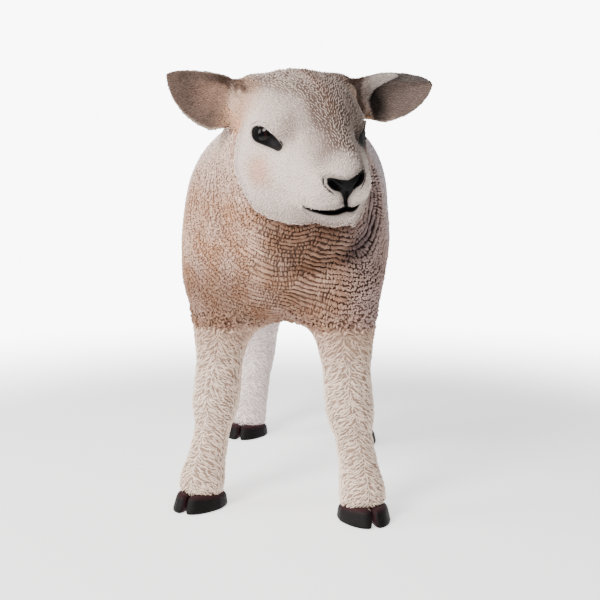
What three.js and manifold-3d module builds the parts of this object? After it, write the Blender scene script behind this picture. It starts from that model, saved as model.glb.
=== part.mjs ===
// A standing Texel lamb: a life-size garden statue, cast in resin and painted by hand.
// Millimetres. +Z is up, the lamb looks along -Y, and +X is its left side.
// The flesh is one smooth field, a blend of simple masses, which is meshed piece by piece and
// parted with thin flat cuts. The ears, eyes and hooves are shapes of their own.
import * as THREE from "three";
import { mergeVertices } from "three/addons/utils/BufferGeometryUtils.js";
import Module from "manifold-3d";

const wasm = await Module();
wasm.setup();

// ---------------------------------------------------------------- driving dimensions
const GAP = 0.4; // clear space at every cut between two pieces
const EAR_GAP = 1.6; // clear space under an ear, where two curved faces meet
const LEFT = 1;
const RIGHT = -1;

// Trunk
const BACK_HEIGHT = 584;
const BELLY_HEIGHT = 264;
const TRUNK_HALF_WIDTH = 151;
const TRUNK_HALF_LENGTH = 243;
const TRUNK_MIDDLE = [3, 22]; // it bends a little to the left
const TRUNK_SQUARENESS = 2.5; // exponent of the trunk's superellipse: 2 is an ellipse

// Head: the point midway between the eyes, and the head's turn about it in degrees.
const EYE_LINE = [44, -294, 536];
const HEAD_TURN = [22, -3, 29]; // nose down, left eye up, nose to the lamb's left
const EYE_RADIUS = 14;
const EYE_SEAT = [63.5, -9, 4]; // the left eye's centre in the head's own frame
const MOUTH_CORNER_Y = -84;
const MOUTH_HEIGHT = -60;
const MOUTH_GAPE = 2.4;
const MOUTH_INNER = [38, 26]; // the mouth's slit stops at this half-ellipse
const NOSTRIL = [9, 8, 4];

// Ears: root and tip, the way each opens, its width above and below the line from root to tip,
// and how deep it is cupped.
const EARS = {
  ear_left: {
    root: [111, -216, 595],
    tip: [209, -175, 607],
    opens: [0.3, -1, -0.05],
    above: 22,
    below: 46,
    cup: 24,
  },
  ear_right: {
    root: [-49, -304, 588],
    tip: [-137, -310, 609],
    opens: [-0.15, -1, -0.15],
    above: 18,
    below: 57,
    cup: 12,
  },
};
const EAR_EDGE = 3.4; // thickness of an ear at its edge
const EAR_MIDDLE = 8; // and along its middle
const EAR_ROOT = 24; // and at its root

// Legs: [x, y, z, radius] from the shoulder or hip down to the pastern, for x outward.
const FRONT_LEG = [
  [80, 6, 330, 62],
  [90, 2, 262, 42],
  [94.5, -6, 205, 33.5],
  [99, -8, 158, 34.5],
  [106, -2, 112, 26.3],
  [113, -6, 72, 27.6],
  [119, -20, 38, 33],
];
const HIND_LEG = [
  [78, -30, 320, 70],
  [80, -20, 250, 50],
  [83, 22, 190, 36],
  [86, 44, 150, 33],
  [89, 30, 104, 27.5],
  [93, 18, 66, 28],
  [98, 4, 38, 32],
];
const LEGS = {
  front_left: { path: FRONT_LEG, side: LEFT, y: -197, out: -3.5, splay: 19, joint: 158, lean: 24 },
  front_right: { path: FRONT_LEG, side: RIGHT, y: -154, out: 0, splay: 22, joint: 158, lean: 24 },
  hind_left: { path: HIND_LEG, side: LEFT, y: 208, out: 0, splay: 12, joint: 168, lean: 28 },
  hind_right: { path: HIND_LEG, side: RIGHT, y: 246, out: 2, splay: 14, joint: 168, lean: 28 },
};
const LEG_TOP = 268; // height of the cut between leg and trunk, at the middle of the leg
const CORONET = 23; // height of a hoof's top edge, in the middle
const CORONET_TILT = 11; // degrees, toe side up
const HOOF_HALF_LENGTH = 43;
const FOOT_OUT = 4; // the middle of a hoof from the middle of its pastern
const FOOT_AHEAD = 6;
const CLAW_WIDTH = 34.5;
const CLEFT = 3;

// Mesh cell sizes of the flesh.
const CELL = { trunk: 35.5, neck: 25, head: 12.6, upperLeg: 20.5, lowerLeg: 17, tail: 19 };
const STEPS_PER_JOINT = 3;
const EAR_STEPS = 6;
const EAR_RINGS = [-0.2, 0.02, 0.18, 0.38, 0.58, 0.76, 0.89, 0.965, 0.998];
const CLAW_POINTS = 12;

// ---------------------------------------------------------------- fields
// A field gives the signed distance from a point to a surface, negative inside.

const lengthOf = (x, y, z) => Math.sqrt(x * x + y * y + z * z);

// A turned superellipsoid.
function mass(centre, radii, turn = [0, 0, 0], power = 2) {
  const inverse = turned(centre, turn).invert();
  const p = new THREE.Vector3();
  return (x, y, z) => {
    p.set(x, y, z).applyMatrix4(inverse);
    const share = [p.x, p.y, p.z].map((v, i) => Math.abs(v) / radii[i]);
    const reach = share.reduce((sum, v) => sum + v ** power, 0) ** (1 / power);
    const slopes = share.map((v, i) => v ** (power - 1) / radii[i]);
    const slope = reach ** (1 - power) * lengthOf(...slopes);
    return reach > 1e-6 ? (reach - 1) / slope : -Math.min(...radii);
  };
}

// A matrix that puts a form at a place, turned about x, y and z in degrees.
function turned(place, [rx, ry, rz]) {
  const euler = new THREE.Euler(...[rx, ry, rz].map(THREE.MathUtils.degToRad), "ZYX");
  return new THREE.Matrix4().makeRotationFromEuler(euler).setPosition(...place);
}

// A tapered limb between two points, with its own radius at each end.
function limb([ax, ay, az, ra], [bx, by, bz, rb]) {
  const [dx, dy, dz] = [bx - ax, by - ay, bz - az];
  const span = dx * dx + dy * dy + dz * dz;
  const lean = (ra - rb) / Math.sqrt(span);
  return (x, y, z) => {
    const [px, py, pz] = [x - ax, y - ay, z - az];
    const along = (px * dx + py * dy + pz * dz) / span;
    const away = lengthOf(px - along * dx, py - along * dy, pz - along * dz);
    const shift = (away * lean) / Math.sqrt(Math.max(1 - lean * lean, 1e-6) * span);
    const t = THREE.MathUtils.clamp(along - shift, 0, 1);
    return lengthOf(px - t * dx, py - t * dy, pz - t * dz) - (ra + t * (rb - ra));
  };
}

// One smooth limb through joints given as [x, y, z, radius].
function chain(joints) {
  const line = new THREE.CatmullRomCurve3(joints.map(([x, y, z]) => new THREE.Vector3(x, y, z)));
  const girth = new THREE.CatmullRomCurve3(joints.map(([, , , r]) => new THREE.Vector3(r, 0, 0)));
  const count = (joints.length - 1) * STEPS_PER_JOINT;
  const rings = Array.from({ length: count + 1 }, (_, i) => {
    const t = i / count;
    return [...line.getPoint(t).toArray(), girth.getPoint(t).x];
  });
  const limbs = rings.slice(1).map((ring, i) => limb(rings[i], ring));
  return (x, y, z) => Math.min(...limbs.map((field) => field(x, y, z)));
}

// Joins two fields with a fillet about `k` wide.
function smoothly(a, b, k) {
  const h = Math.max(k - Math.abs(a - b), 0) / k;
  return Math.min(a, b) - (h * h * k) / 4;
}

const joined = (k, ...fields) => (x, y, z) =>
  fields.reduce((d, field) => smoothly(d, field(x, y, z), k), Infinity);
const pair = (field) => (x, y, z) => field(Math.abs(x), y, z);

// ---------------------------------------------------------------- the lamb's flesh
const TRUNK_MIDDLE_Z = (BACK_HEIGHT + BELLY_HEIGHT) / 2;

const trunkField = joined(
  60,
  mass(
    [...TRUNK_MIDDLE, TRUNK_MIDDLE_Z],
    [TRUNK_HALF_WIDTH, TRUNK_HALF_LENGTH, (BACK_HEIGHT - BELLY_HEIGHT) / 2],
    [0, 0, 0],
    TRUNK_SQUARENESS,
  ),
  mass([0, -168, 360], [106, 74, 78]), // brisket
  pair(mass([80, -140, 385], [62, 84, 128], [8, 0, 0])), // shoulder
  pair(mass([84, 200, 372], [60, 84, 118], [-8, 0, 0])), // thigh
);

const neckField = joined(
  50,
  limb([0, -118, 440, 130], [16, -232, 524, 90]),
  limb([4, -178, 392, 98], [26, -246, 470, 76]),
);

const TAIL = [
  [0, 238, 500, 38],
  [0, 278, 462, 30],
  [0, 296, 400, 24],
  [0, 294, 352, 15],
];

// A leg's joints where it stands: its foot is set `out` from the path, and its top isn't.
const jointsOf = ({ path, side, y, out }) =>
  path.map(([px, py, pz, r]) => [side * (px + out * (1 - pz / path[0][2])), py + y, pz, r]);
const legField = (leg) => chain(jointsOf(leg));

// The head in its own frame: the nose points along -Y, and the eyes are at y = 0.
const skullField = joined(
  20,
  mass([0, 36, 11], [76, 60, 56], [0, 0, 0], 2.3), // cranium
  mass([0, -4, 24], [58, 46, 36], [22, 0, 0]), // forehead
  pair(mass([54, 6, 5], [25, 26, 24])), // orbit
  limb([0, -18, 20, 38], [0, -88, -8, 27]), // bridge of the nose
  pair(mass([44, 22, -40], [42, 58, 46])), // cheek and jaw angle
  pair(mass([32, -38, -26], [33, 58, 34], [10, 0, -10])), // side of the face
  pair(mass([21, -87, -37], [25, 30, 24])), // upper lip
  mass([0, -93, -22], [24, 20, 18]), // end of the nose
  mass([0, -58, -64], [36, 54, 20], [8, 0, 0]), // lower jaw
  mass([0, -88, -68], [25, 24, 16]), // chin
  pair(mass([62, 50, 36], [24, 20, 25])), // root of the ear
);

const headMatrix = turned(EYE_LINE, HEAD_TURN);
const headInverse = headMatrix.clone().invert();
const inHead = (field) => {
  const p = new THREE.Vector3();
  return (x, y, z) => {
    p.set(x, y, z).applyMatrix4(headInverse);
    return field(p.x, p.y, p.z);
  };
};

const bodyField = joined(
  26,
  trunkField,
  neckField,
  inHead(skullField),
  chain(TAIL),
  ...Object.values(LEGS).map(legField),
);

// ---------------------------------------------------------------- meshing a field
// Surface nets: one vertex in each cell that the surface crosses, moved onto the surface.
function meshOf(field, low, high, cell) {
  const counts = low.map((v, i) => Math.ceil((high[i] - v) / cell) + 1);
  const [nx, ny, nz] = counts;
  const at = (i, j, k) => i + nx * (j + ny * k);
  const place = (i, j, k) => [low[0] + i * cell, low[1] + j * cell, low[2] + k * cell];
  const boxed = (x, y, z) => {
    const wall = Math.max(low[0] - x, x - high[0], low[1] - y, y - high[1], low[2] - z, z - high[2]);
    return Math.max(field(x, y, z), wall + cell * 1.02);
  };
  const values = new Float64Array(nx * ny * nz);
  for (let k = 0; k < nz; k++)
    for (let j = 0; j < ny; j++)
      for (let i = 0; i < nx; i++) values[at(i, j, k)] = boxed(...place(i, j, k));

  const corners = [0, 1, 2, 3, 4, 5, 6, 7].map((n) => [n & 1, (n >> 1) & 1, n >> 2]);
  const edges = [];
  for (let a = 0; a < 8; a++) for (const bit of [1, 2, 4]) if (!(a & bit)) edges.push([a, a | bit]);

  const vertexOf = new Int32Array(nx * ny * nz).fill(-1);
  const positions = [];
  for (let k = 0; k < nz - 1; k++)
    for (let j = 0; j < ny - 1; j++)
      for (let i = 0; i < nx - 1; i++) {
        const around = corners.map(([a, b, c]) => values[at(i + a, j + b, k + c)]);
        const crossed = edges.filter(([a, b]) => around[a] < 0 !== around[b] < 0);
        if (!crossed.length) continue;
        const sum = [0, 0, 0];
        for (const [a, b] of crossed) {
          const t = around[a] / (around[a] - around[b]);
          for (let n = 0; n < 3; n++) sum[n] += corners[a][n] + t * (corners[b][n] - corners[a][n]);
        }
        const corner = place(i, j, k);
        const p = sum.map((s, n) => corner[n] + (cell * s) / crossed.length);
        vertexOf[at(i, j, k)] = positions.length / 3;
        positions.push(...ontoSurface(boxed, p, cell));
      }

  const index = [];
  const quad = (a, b, c, d, flip) => index.push(...(flip ? [a, c, b, a, d, c] : [a, b, c, a, c, d]));
  for (let k = 1; k < nz - 1; k++)
    for (let j = 1; j < ny - 1; j++)
      for (let i = 1; i < nx - 1; i++) {
        const here = values[at(i, j, k)] < 0;
        const v = (a, b, c) => vertexOf[at(i - a, j - b, k - c)];
        if (here !== values[at(i + 1, j, k)] < 0) quad(v(0, 1, 1), v(0, 0, 1), v(0, 0, 0), v(0, 1, 0), !here);
        if (here !== values[at(i, j + 1, k)] < 0) quad(v(1, 0, 1), v(1, 0, 0), v(0, 0, 0), v(0, 0, 1), !here);
        if (here !== values[at(i, j, k + 1)] < 0) quad(v(1, 1, 0), v(0, 1, 0), v(0, 0, 0), v(1, 0, 0), !here);
      }
  return new THREE.BufferGeometry()
    .setAttribute("position", new THREE.Float32BufferAttribute(positions, 3))
    .setIndex(index);
}

function ontoSurface(field, [x, y, z], cell) {
  const h = cell * 0.05;
  for (let step = 0; step < 3; step++) {
    const d = field(x, y, z);
    const g = [
      field(x + h, y, z) - field(x - h, y, z),
      field(x, y + h, z) - field(x, y - h, z),
      field(x, y, z + h) - field(x, y, z - h),
    ].map((v) => v / (2 * h));
    const steep = Math.max(g[0] ** 2 + g[1] ** 2 + g[2] ** 2, 0.3);
    const move = THREE.MathUtils.clamp(d / steep, -cell * 0.3, cell * 0.3);
    [x, y, z] = [x - move * g[0], y - move * g[1], z - move * g[2]];
  }
  return [x, y, z];
}

// ---------------------------------------------------------------- solids
function solidOf(geometry) {
  const bare = geometry.clone();
  bare.deleteAttribute("normal");
  bare.deleteAttribute("uv");
  const merged = mergeVertices(bare, 1e-4);
  const vertProperties = new Float32Array(merged.attributes.position.array);
  const triVerts = new Uint32Array(merged.index.array);
  return new wasm.Manifold(new wasm.Mesh({ numProp: 3, vertProperties, triVerts }));
}

function geometryOf(solid) {
  const mesh = solid.getMesh();
  return new THREE.BufferGeometry()
    .setAttribute("position", new THREE.Float32BufferAttribute(mesh.vertProperties, 3))
    .setIndex(Array.from(mesh.triVerts));
}

const flesh = (cell, low, high) => solidOf(meshOf(bodyField, low, high, cell));

// A box from one corner to the other, grown by `grow` on every side, in the frame of `matrix`.
function block(low, high, matrix, grow = 0) {
  const size = low.map((v, i) => high[i] - v + 2 * grow);
  const middle = low.map((v, i) => (v + high[i]) / 2);
  return solidOf(new THREE.BoxGeometry(...size).translate(...middle).applyMatrix4(matrix));
}

const ball = (radius, place, matrix, detail) =>
  solidOf(new THREE.IcosahedronGeometry(radius, detail).translate(...place).applyMatrix4(matrix));

// A closed skin over rings of points, all rings with the same count, with a fan at each end.
function loft(rings) {
  const count = rings[0].length;
  const positions = rings.flat(2);
  const index = [];
  for (let r = 0; r + 1 < rings.length; r++)
    for (let i = 0; i < count; i++) {
      const [a, b] = [r * count + i, r * count + ((i + 1) % count)];
      index.push(a, b, b + count, a, b + count, a + count);
    }
  for (const [r, flip] of [[0, true], [rings.length - 1, false]]) {
    const middle = [0, 1, 2].map((n) => rings[r].reduce((sum, p) => sum + p[n] / count, 0));
    const centre = positions.push(...middle) / 3 - 1;
    for (let i = 0; i < count; i++) {
      const [a, b] = [r * count + i, r * count + ((i + 1) % count)];
      index.push(...(flip ? [b, a, centre] : [a, b, centre]));
    }
  }
  return new THREE.BufferGeometry()
    .setAttribute("position", new THREE.Float32BufferAttribute(positions, 3))
    .setIndex(index);
}

const lamb = new THREE.Group();
const PAINT = {
  wool: new THREE.MeshStandardMaterial({ color: 0xcdb8a4, roughness: 0.75 }),
  fleece: new THREE.MeshStandardMaterial({ color: 0xdcd3d0, roughness: 0.8 }),
  hair: new THREE.MeshStandardMaterial({ color: 0xe2d8cb, roughness: 0.7 }),
  face: new THREE.MeshStandardMaterial({ color: 0xe0dad6, roughness: 0.6 }),
  ear: new THREE.MeshStandardMaterial({ color: 0x9c8f88, roughness: 0.7 }),
  gloss: new THREE.MeshStandardMaterial({ color: 0x0b0a0a, roughness: 0.08 }),
  hoof: new THREE.MeshStandardMaterial({ color: 0x1c1718, roughness: 0.35 }),
};
function add(name, solid, paint) {
  const mesh = new THREE.Mesh(geometryOf(solid), paint);
  mesh.name = name;
  lamb.add(mesh);
}

// ---------------------------------------------------------------- ears and hooves
const taper = (t) => (1 - t ** 2.6) ** 0.7;

// A leaf, cupped towards the way it opens, thick at the root and thin along its edge.
function earSolid({ root, tip, opens, above, below, cup }) {
  const [from, to] = [new THREE.Vector3(...root), new THREE.Vector3(...tip)];
  const along = to.clone().sub(from);
  const length = along.length();
  along.normalize();
  const face = new THREE.Vector3(...opens);
  face.addScaledVector(along, -face.dot(along)).normalize();
  const up = new THREE.Vector3().crossVectors(along, face);
  const mirrored = up.z < 0;
  if (mirrored) up.negate();

  const point = (t, v, front) => {
    const width = t > 0 ? taper(t) : 1;
    const swell = Math.max(0, 1 - t / 0.4) ** 2;
    const edge = 1 - v * v;
    const thick = EAR_EDGE + (EAR_MIDDLE - EAR_EDGE + (EAR_ROOT - EAR_MIDDLE) * swell) * edge;
    const narrow = 1 - 0.16 * Math.max(0, 1 - t / 0.25);
    const depth = cup * width * (v * v - 0.5) * (1 - 0.4 * t) + (front ? thick * 0.4 : -thick * 0.6);
    return from
      .clone()
      .addScaledVector(along, t * length)
      .addScaledVector(up, v * (v > 0 ? above : below) * width * narrow)
      .addScaledVector(face, depth)
      .toArray();
  };
  const steps = Array.from({ length: EAR_STEPS + 1 }, (_, i) => (2 * i) / EAR_STEPS - 1);
  const rings = EAR_RINGS.map((t) => [
    ...steps.map((v) => point(t, v, true)),
    ...steps.toReversed().map((v) => point(t, v, false)),
  ]);
  const leaf = loft(mirrored ? rings.map((ring) => ring.toReversed()) : rings);
  const near = 80;
  const low = root.map((v) => v - near);
  const high = root.map((v) => v + near);
  const seat = meshOf((x, y, z) => bodyField(x, y, z) - EAR_GAP, low, high, CELL.head);
  return largest(solidOf(leaf).subtract(solidOf(seat)));
}

const largest = (solid) => solid.decompose().toSorted((a, b) => b.volume() - a.volume())[0];

// The hoof's top edge, in the foot's frame: a level a little higher at the toe.
const coronet = turned([0, 0, CORONET], [-CORONET_TILT, 0, 0]);

// One claw stands on its flat sole: straight beside the cleft, round outside, narrow at the toe.
function claw(side, foot) {
  const outline = (shrink, back) =>
    Array.from({ length: CLAW_POINTS }, (_, i) => {
      const a = (2 * Math.PI * i) / CLAW_POINTS;
      const [across, ahead] = [Math.cos(a), Math.sin(a)];
      const outer = across > 0 ? across ** 0.8 : 0.06 * across;
      const toe = ahead > 0 ? 1 - 0.3 * ahead : 1;
      const x = CLEFT / 2 + CLAW_WIDTH * (0.06 + 0.94 * outer * toe);
      return [side * (x * shrink + CLEFT * (1 - shrink)), -ahead * HOOF_HALF_LENGTH * shrink + back];
    });
  const rings = [[0, 0.98, 0], [6, 1, 0], [44, 0.84, 8]].map(([z, shrink, back]) =>
    outline(shrink, back).map(([x, y]) => [x, y, z]),
  );
  return solidOf(loft(side > 0 ? rings.map((ring) => ring.toReversed()) : rings).applyMatrix4(foot));
}

function hoof(foot) {
  const bulb = new THREE.CylinderGeometry(17, 18, 48, 12).rotateX(Math.PI / 2).translate(0, 20, 24);
  const heel = solidOf(bulb.applyMatrix4(foot));
  const above = block([-90, -110, 0], [90, 110, 60], foot.clone().multiply(coronet));
  return [claw(LEFT, foot), claw(RIGHT, foot)].reduce((a, b) => a.add(b), heel).subtract(above);
}

// ---------------------------------------------------------------- pieces of the flesh
// The cut behind the jaw and the cut across the base of the neck: a frame each, whose +Y side
// is the side of the trunk.
const headCut = turned([26, -228, 520], [-30, 0, 14]);
const neckCut = turned([4, -148, 514], [-40, 0, 4]);
const beforeHeadCut = (grow) => block([-125, -250, -200], [125, 0, 190], headCut, grow);
const beforeNeckCut = (grow) => block([-190, -330, -260], [190, 0, 260], neckCut, grow);

const eyeSeat = (side, radius) =>
  ball(radius, [side * EYE_SEAT[0], EYE_SEAT[1], EYE_SEAT[2]], headMatrix, 1);
const sockets = [LEFT, RIGHT].map((side) => eyeSeat(side, EYE_RADIUS + GAP));

// The mouth is a thin slit round the muzzle, and the nostrils are two short slanting dents.
function mouthSlit() {
  const outline = new THREE.Shape();
  outline.absellipse(0, MOUTH_CORNER_Y, 80, 70, Math.PI, 2 * Math.PI);
  const inner = new THREE.Path();
  inner.absellipse(0, MOUTH_CORNER_Y - 1, MOUTH_INNER[0], MOUTH_INNER[1], Math.PI, 2 * Math.PI);
  outline.holes.push(inner);
  const options = { depth: MOUTH_GAPE, bevelEnabled: false, curveSegments: 10 };
  const slab = new THREE.ExtrudeGeometry(outline, options);
  return solidOf(slab.translate(0, 0, MOUTH_HEIGHT).applyMatrix4(headMatrix));
}
const nostril = (side) =>
  solidOf(
    new THREE.IcosahedronGeometry(1, 1)
      .scale(...NOSTRIL)
      .applyMatrix4(turned([side * 15, -115, -19], [0, side * -38, side * 20]))
      .applyMatrix4(headMatrix),
  );

const headFlesh = flesh(CELL.head, [-100, -460, 385], [185, -170, 650]);
const head = [...sockets, mouthSlit(), nostril(LEFT), nostril(RIGHT)].reduce(
  (solid, tool) => solid.subtract(tool),
  headFlesh.intersect(beforeHeadCut(0)),
);
add("head", head, PAINT.face);
add("eye_left", eyeSeat(LEFT, EYE_RADIUS), PAINT.gloss);
add("eye_right", eyeSeat(RIGHT, EYE_RADIUS), PAINT.gloss);

const neckFlesh = flesh(CELL.neck, [-190, -400, 260], [190, -20, 690]);
add("neck", neckFlesh.intersect(beforeNeckCut(0)).subtract(beforeHeadCut(GAP)), PAINT.wool);

// A leg's frame stands under the middle of its top, and leans out along the line of the cut.
const legCuts = Object.fromEntries(
  Object.entries(LEGS).map(([name, leg]) => {
    const [x, y] = jointsOf(leg)[1];
    return [name, turned([x, y, LEG_TOP], [0, -leg.side * leg.lean, 0])];
  }),
);
const belowLegCut = (name, grow) =>
  block([-92, -150, -330], [92, 150, 0], legCuts[name], grow);
const tailBlock = (grow) => block([-46, 262, 240], [46, 352, 536], new THREE.Matrix4(), grow);

const cuts = [beforeHeadCut, beforeNeckCut, tailBlock].map((cut) => cut(GAP));
cuts.push(...Object.keys(LEGS).map((name) => belowLegCut(name, GAP)));
const trunkFlesh = flesh(CELL.trunk, [-230, -330, 180], [230, 340, 680]);
add("trunk", cuts.reduce((solid, cut) => solid.subtract(cut), trunkFlesh), PAINT.fleece);

const tailFlesh = flesh(CELL.tail, [-80, 200, 290], [80, 360, 590]);
add("tail", tailFlesh.intersect(tailBlock(0)), PAINT.fleece);

for (const [name, leg] of Object.entries(LEGS)) {
  const { side, y, splay, joint } = leg;
  const [footX, footY] = jointsOf(leg).at(-1);
  const foot = turned([footX + side * FOOT_OUT, footY - FOOT_AHEAD, 0], [0, 0, side * splay]);
  const low = [side > 0 ? 8 : -190, y - 110, -20];
  const high = [side > 0 ? 190 : -8, y + 110, 360];
  const upper = flesh(CELL.upperLeg, [...low.slice(0, 2), joint - 40], high);
  const aboveJoint = block([-400, -400, joint], [400, 400, 900], new THREE.Matrix4());
  add(`leg_${name}_upper`, upper.intersect(belowLegCut(name, 0)).intersect(aboveJoint), PAINT.hair);

  const lower = flesh(CELL.lowerLeg, low, [...high.slice(0, 2), joint + 40]);
  const belowJoint = block([-400, -400, -100], [400, 400, joint - GAP], new THREE.Matrix4());
  const underHair = block([-90, -110, -60], [90, 110, 0], foot.clone().multiply(coronet), GAP);
  add(`leg_${name}_lower`, lower.intersect(belowJoint).subtract(underHair), PAINT.hair);
  add(`hoof_${name}`, hoof(foot), PAINT.hoof);
}

for (const [name, ear] of Object.entries(EARS)) add(name, earSolid(ear), PAINT.ear);

// ---------------------------------------------------------------- the part's frame
const bounds = new THREE.Box3().setFromObject(lamb);
lamb.position.set(-(bounds.min.x + bounds.max.x) / 2, -(bounds.min.y + bounds.max.y) / 2, 0);
lamb.updateMatrixWorld(true);

export default lamb;
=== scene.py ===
"""A standing Texel lamb: a life-size garden statue, cast in resin and painted by hand.

The flesh is one smooth field, a blend of simple masses, which is meshed as a single skin. Lids,
nostrils, mouth, folds and the ridge along the jaw are carved into it, and the coat is laid on it as
small raised locks that follow its lie. Lengths are in millimetres in the lamb's own frame, where
+Z is up, the lamb looks along -Y and +X is its left side, and turn to metres as meshes are made.
"""

import logging
import math
from dataclasses import dataclass, field
from enum import Enum, IntEnum
from typing import Callable, ClassVar, Sequence

import bmesh
import bpy
import numpy as np
from bpy.types import Material, Mesh, Node, NodeSocket, NodeTree, Object
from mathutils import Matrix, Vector
from mathutils.bvhtree import BVHTree
from mathutils.kdtree import KDTree
from numpy.linalg import norm


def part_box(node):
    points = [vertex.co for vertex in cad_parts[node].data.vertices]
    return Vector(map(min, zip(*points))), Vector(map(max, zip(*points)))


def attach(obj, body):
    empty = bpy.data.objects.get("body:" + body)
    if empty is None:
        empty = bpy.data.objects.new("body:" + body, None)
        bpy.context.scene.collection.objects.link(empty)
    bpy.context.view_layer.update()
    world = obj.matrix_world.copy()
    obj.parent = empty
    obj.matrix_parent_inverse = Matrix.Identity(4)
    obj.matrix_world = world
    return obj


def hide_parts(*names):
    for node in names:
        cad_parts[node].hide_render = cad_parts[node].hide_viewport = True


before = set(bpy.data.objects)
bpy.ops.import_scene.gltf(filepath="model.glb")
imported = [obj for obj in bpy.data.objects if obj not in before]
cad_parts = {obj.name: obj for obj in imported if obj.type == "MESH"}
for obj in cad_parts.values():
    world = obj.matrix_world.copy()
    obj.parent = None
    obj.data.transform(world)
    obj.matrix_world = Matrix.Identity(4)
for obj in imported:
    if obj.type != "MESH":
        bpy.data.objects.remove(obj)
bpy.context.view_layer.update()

LOG = logging.getLogger("lamb")
MM = 0.001
BODY = "root"

Array = np.ndarray
Field = Callable[[Array], Array]
Triple = Sequence[float]
Two = tuple[float, float]
Knots = tuple[tuple[float, ...], tuple[float, ...]]


class Side(IntEnum):
    """The lamb's own left and right, as the sign of x."""

    LEFT = 1
    RIGHT = -1

    @property
    def word(self) -> str:
        """The side's name, as the names of nodes and pieces end."""
        return self.name.lower()


# -------- numbers
def unit(v: Array) -> Array:
    """Vectors scaled to length one."""
    v = np.asarray(v, float)
    return v / np.maximum(norm(v, axis=-1, keepdims=True), 1e-9)


def step(x: Array, low: float, high: float) -> Array:
    """A smooth step from 0 at `low` to 1 at `high`; `low` may be the larger."""
    t = np.clip((x - low) / (high - low), 0, 1)
    return t * t * (3 - 2 * t)


def through(x: Array, knots: Knots) -> Array:
    """A smooth line through knots, given as their places and their heights, level beyond them."""
    at, height = np.array(knots[0], float), np.array(knots[1], float)
    slope = np.gradient(height, at)
    x = np.clip(x, at[0], at[-1])
    i = np.clip(np.searchsorted(at, x) - 1, 0, len(at) - 2)
    gap = at[i + 1] - at[i]
    t = (x - at[i]) / gap
    start = (1 + 2 * t) * (1 - t) ** 2 * height[i] + t * (1 - t) ** 2 * gap * slope[i]
    return start + t * t * (3 - 2 * t) * height[i + 1] + t * t * (t - 1) * gap * slope[i + 1]


def bump(x: Array, middle: float, half: float) -> Array:
    """A smooth hill, 1 at `middle` and 0 from `half` away."""
    t = np.clip(1 - np.abs(x - middle) / half, 0, 1)
    return t * t * (3 - 2 * t)


def turning(degrees: Triple) -> Array:
    """The matrix that turns about x, then y, then z.

    Args:
        degrees: the three angles.

    Returns:
        A 3 by 3 matrix, for column vectors.
    """
    x, y, z = np.radians(degrees)
    (cx, cy, cz), (sx, sy, sz) = np.cos((x, y, z)), np.sin((x, y, z))
    about_x = np.array([[1, 0, 0], [0, cx, -sx], [0, sx, cx]])
    about_y = np.array([[cy, 0, sy], [0, 1, 0], [-sy, 0, cy]])
    about_z = np.array([[cz, -sz, 0], [sz, cz, 0], [0, 0, 1]])
    return about_z @ about_y @ about_x


class Waves:
    """Smooth noise: a sum of plane waves in seeded directions, about -1 to 1."""

    def __init__(self, length: float, seed: int, count: int = 10) -> None:
        """Draws the waves.

        Args:
            length: typical distance between crests, in millimetres.
            seed: what the directions and phases are drawn from.
            count: how many waves are summed.
        """
        draw = np.random.default_rng(seed)
        pitch = length * draw.uniform(0.7, 1.5, count)
        self.wave = unit(draw.normal(size=(count, 3))) * (2 * math.pi / pitch)[:, None]
        self.phase = draw.uniform(0, 2 * math.pi, count)

    def __call__(self, p: Array) -> Array:
        """The noise at some points."""
        return np.sin(p @ self.wave.T + self.phase).mean(1) * 2.2


# -------- fields
# A field gives the signed distance from points to a surface, negative inside.
REACH = 85.0  # a limited field is worked out this far around its own form


def mass(centre: Triple, radii: Triple, turn: Triple = (0, 0, 0), power: float = 2.0) -> Field:
    """A turned superellipsoid.

    Args:
        centre: its middle.
        radii: its half sizes.
        turn: degrees about x, y and z.
        power: 2 for an ellipsoid, more for a squarer form.

    Returns:
        The field.
    """
    matrix, middle, size = turning(turn), np.array(centre, float), np.array(radii, float)

    def at(p: Array) -> Array:
        share = np.abs((p - middle) @ matrix) / size
        lower = share ** (power - 1)
        reach = (lower * share).sum(1) ** (1 / power)
        slope = reach ** (1 - power) * norm(lower / size, axis=1)
        return np.where(reach > 1e-6, (reach - 1) / np.maximum(slope, 1e-12), -size.min())

    return at


def limb(start: Triple, end: Triple) -> Field:
    """A tapered limb between two points, each given as x, y, z and radius."""
    a, b = np.array(start, float), np.array(end, float)
    line = b[:3] - a[:3]
    span = float(line @ line)
    lean = (a[3] - b[3]) / math.sqrt(span)
    shear = lean / math.sqrt(max(1 - lean * lean, 1e-6) * span)

    def at(p: Array) -> Array:
        q = p - a[:3]
        along = q @ line / span
        away = norm(q - along[:, None] * line, axis=1)
        t = np.clip(along - away * shear, 0, 1)
        return norm(q - t[:, None] * line, axis=1) - (a[3] + t * (b[3] - a[3]))

    return at


def spline(knots: Array, count: int) -> Array:
    """Points along a smooth curve through knots, in any number of dimensions.

    Args:
        knots: the points that it passes through.
        count: how many equal steps it is cut into.

    Returns:
        count + 1 points.
    """
    ends = [2 * knots[0] - knots[1], *knots, 2 * knots[-1] - knots[-2]]
    made = []
    for s in np.linspace(0, len(knots) - 1, count + 1):
        i = min(int(s), len(knots) - 2)
        w = s - i
        a, b, c, d = ends[i : i + 4]
        gaps = [max(math.sqrt(float(norm(v - u))), 1e-2) for u, v in ((a, b), (b, c), (c, d))]
        out = (b - a) / gaps[0] - (c - a) / (gaps[0] + gaps[1]) + (c - b) / gaps[1]
        into = (c - b) / gaps[1] - (d - b) / (gaps[1] + gaps[2]) + (d - c) / gaps[2]
        out, into = out * gaps[1], into * gaps[1]
        made.append(b + w * (out + w * (3 * (c - b) - 2 * out - into + w * (2 * (b - c) + out + into))))
    return np.array(made)


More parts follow.
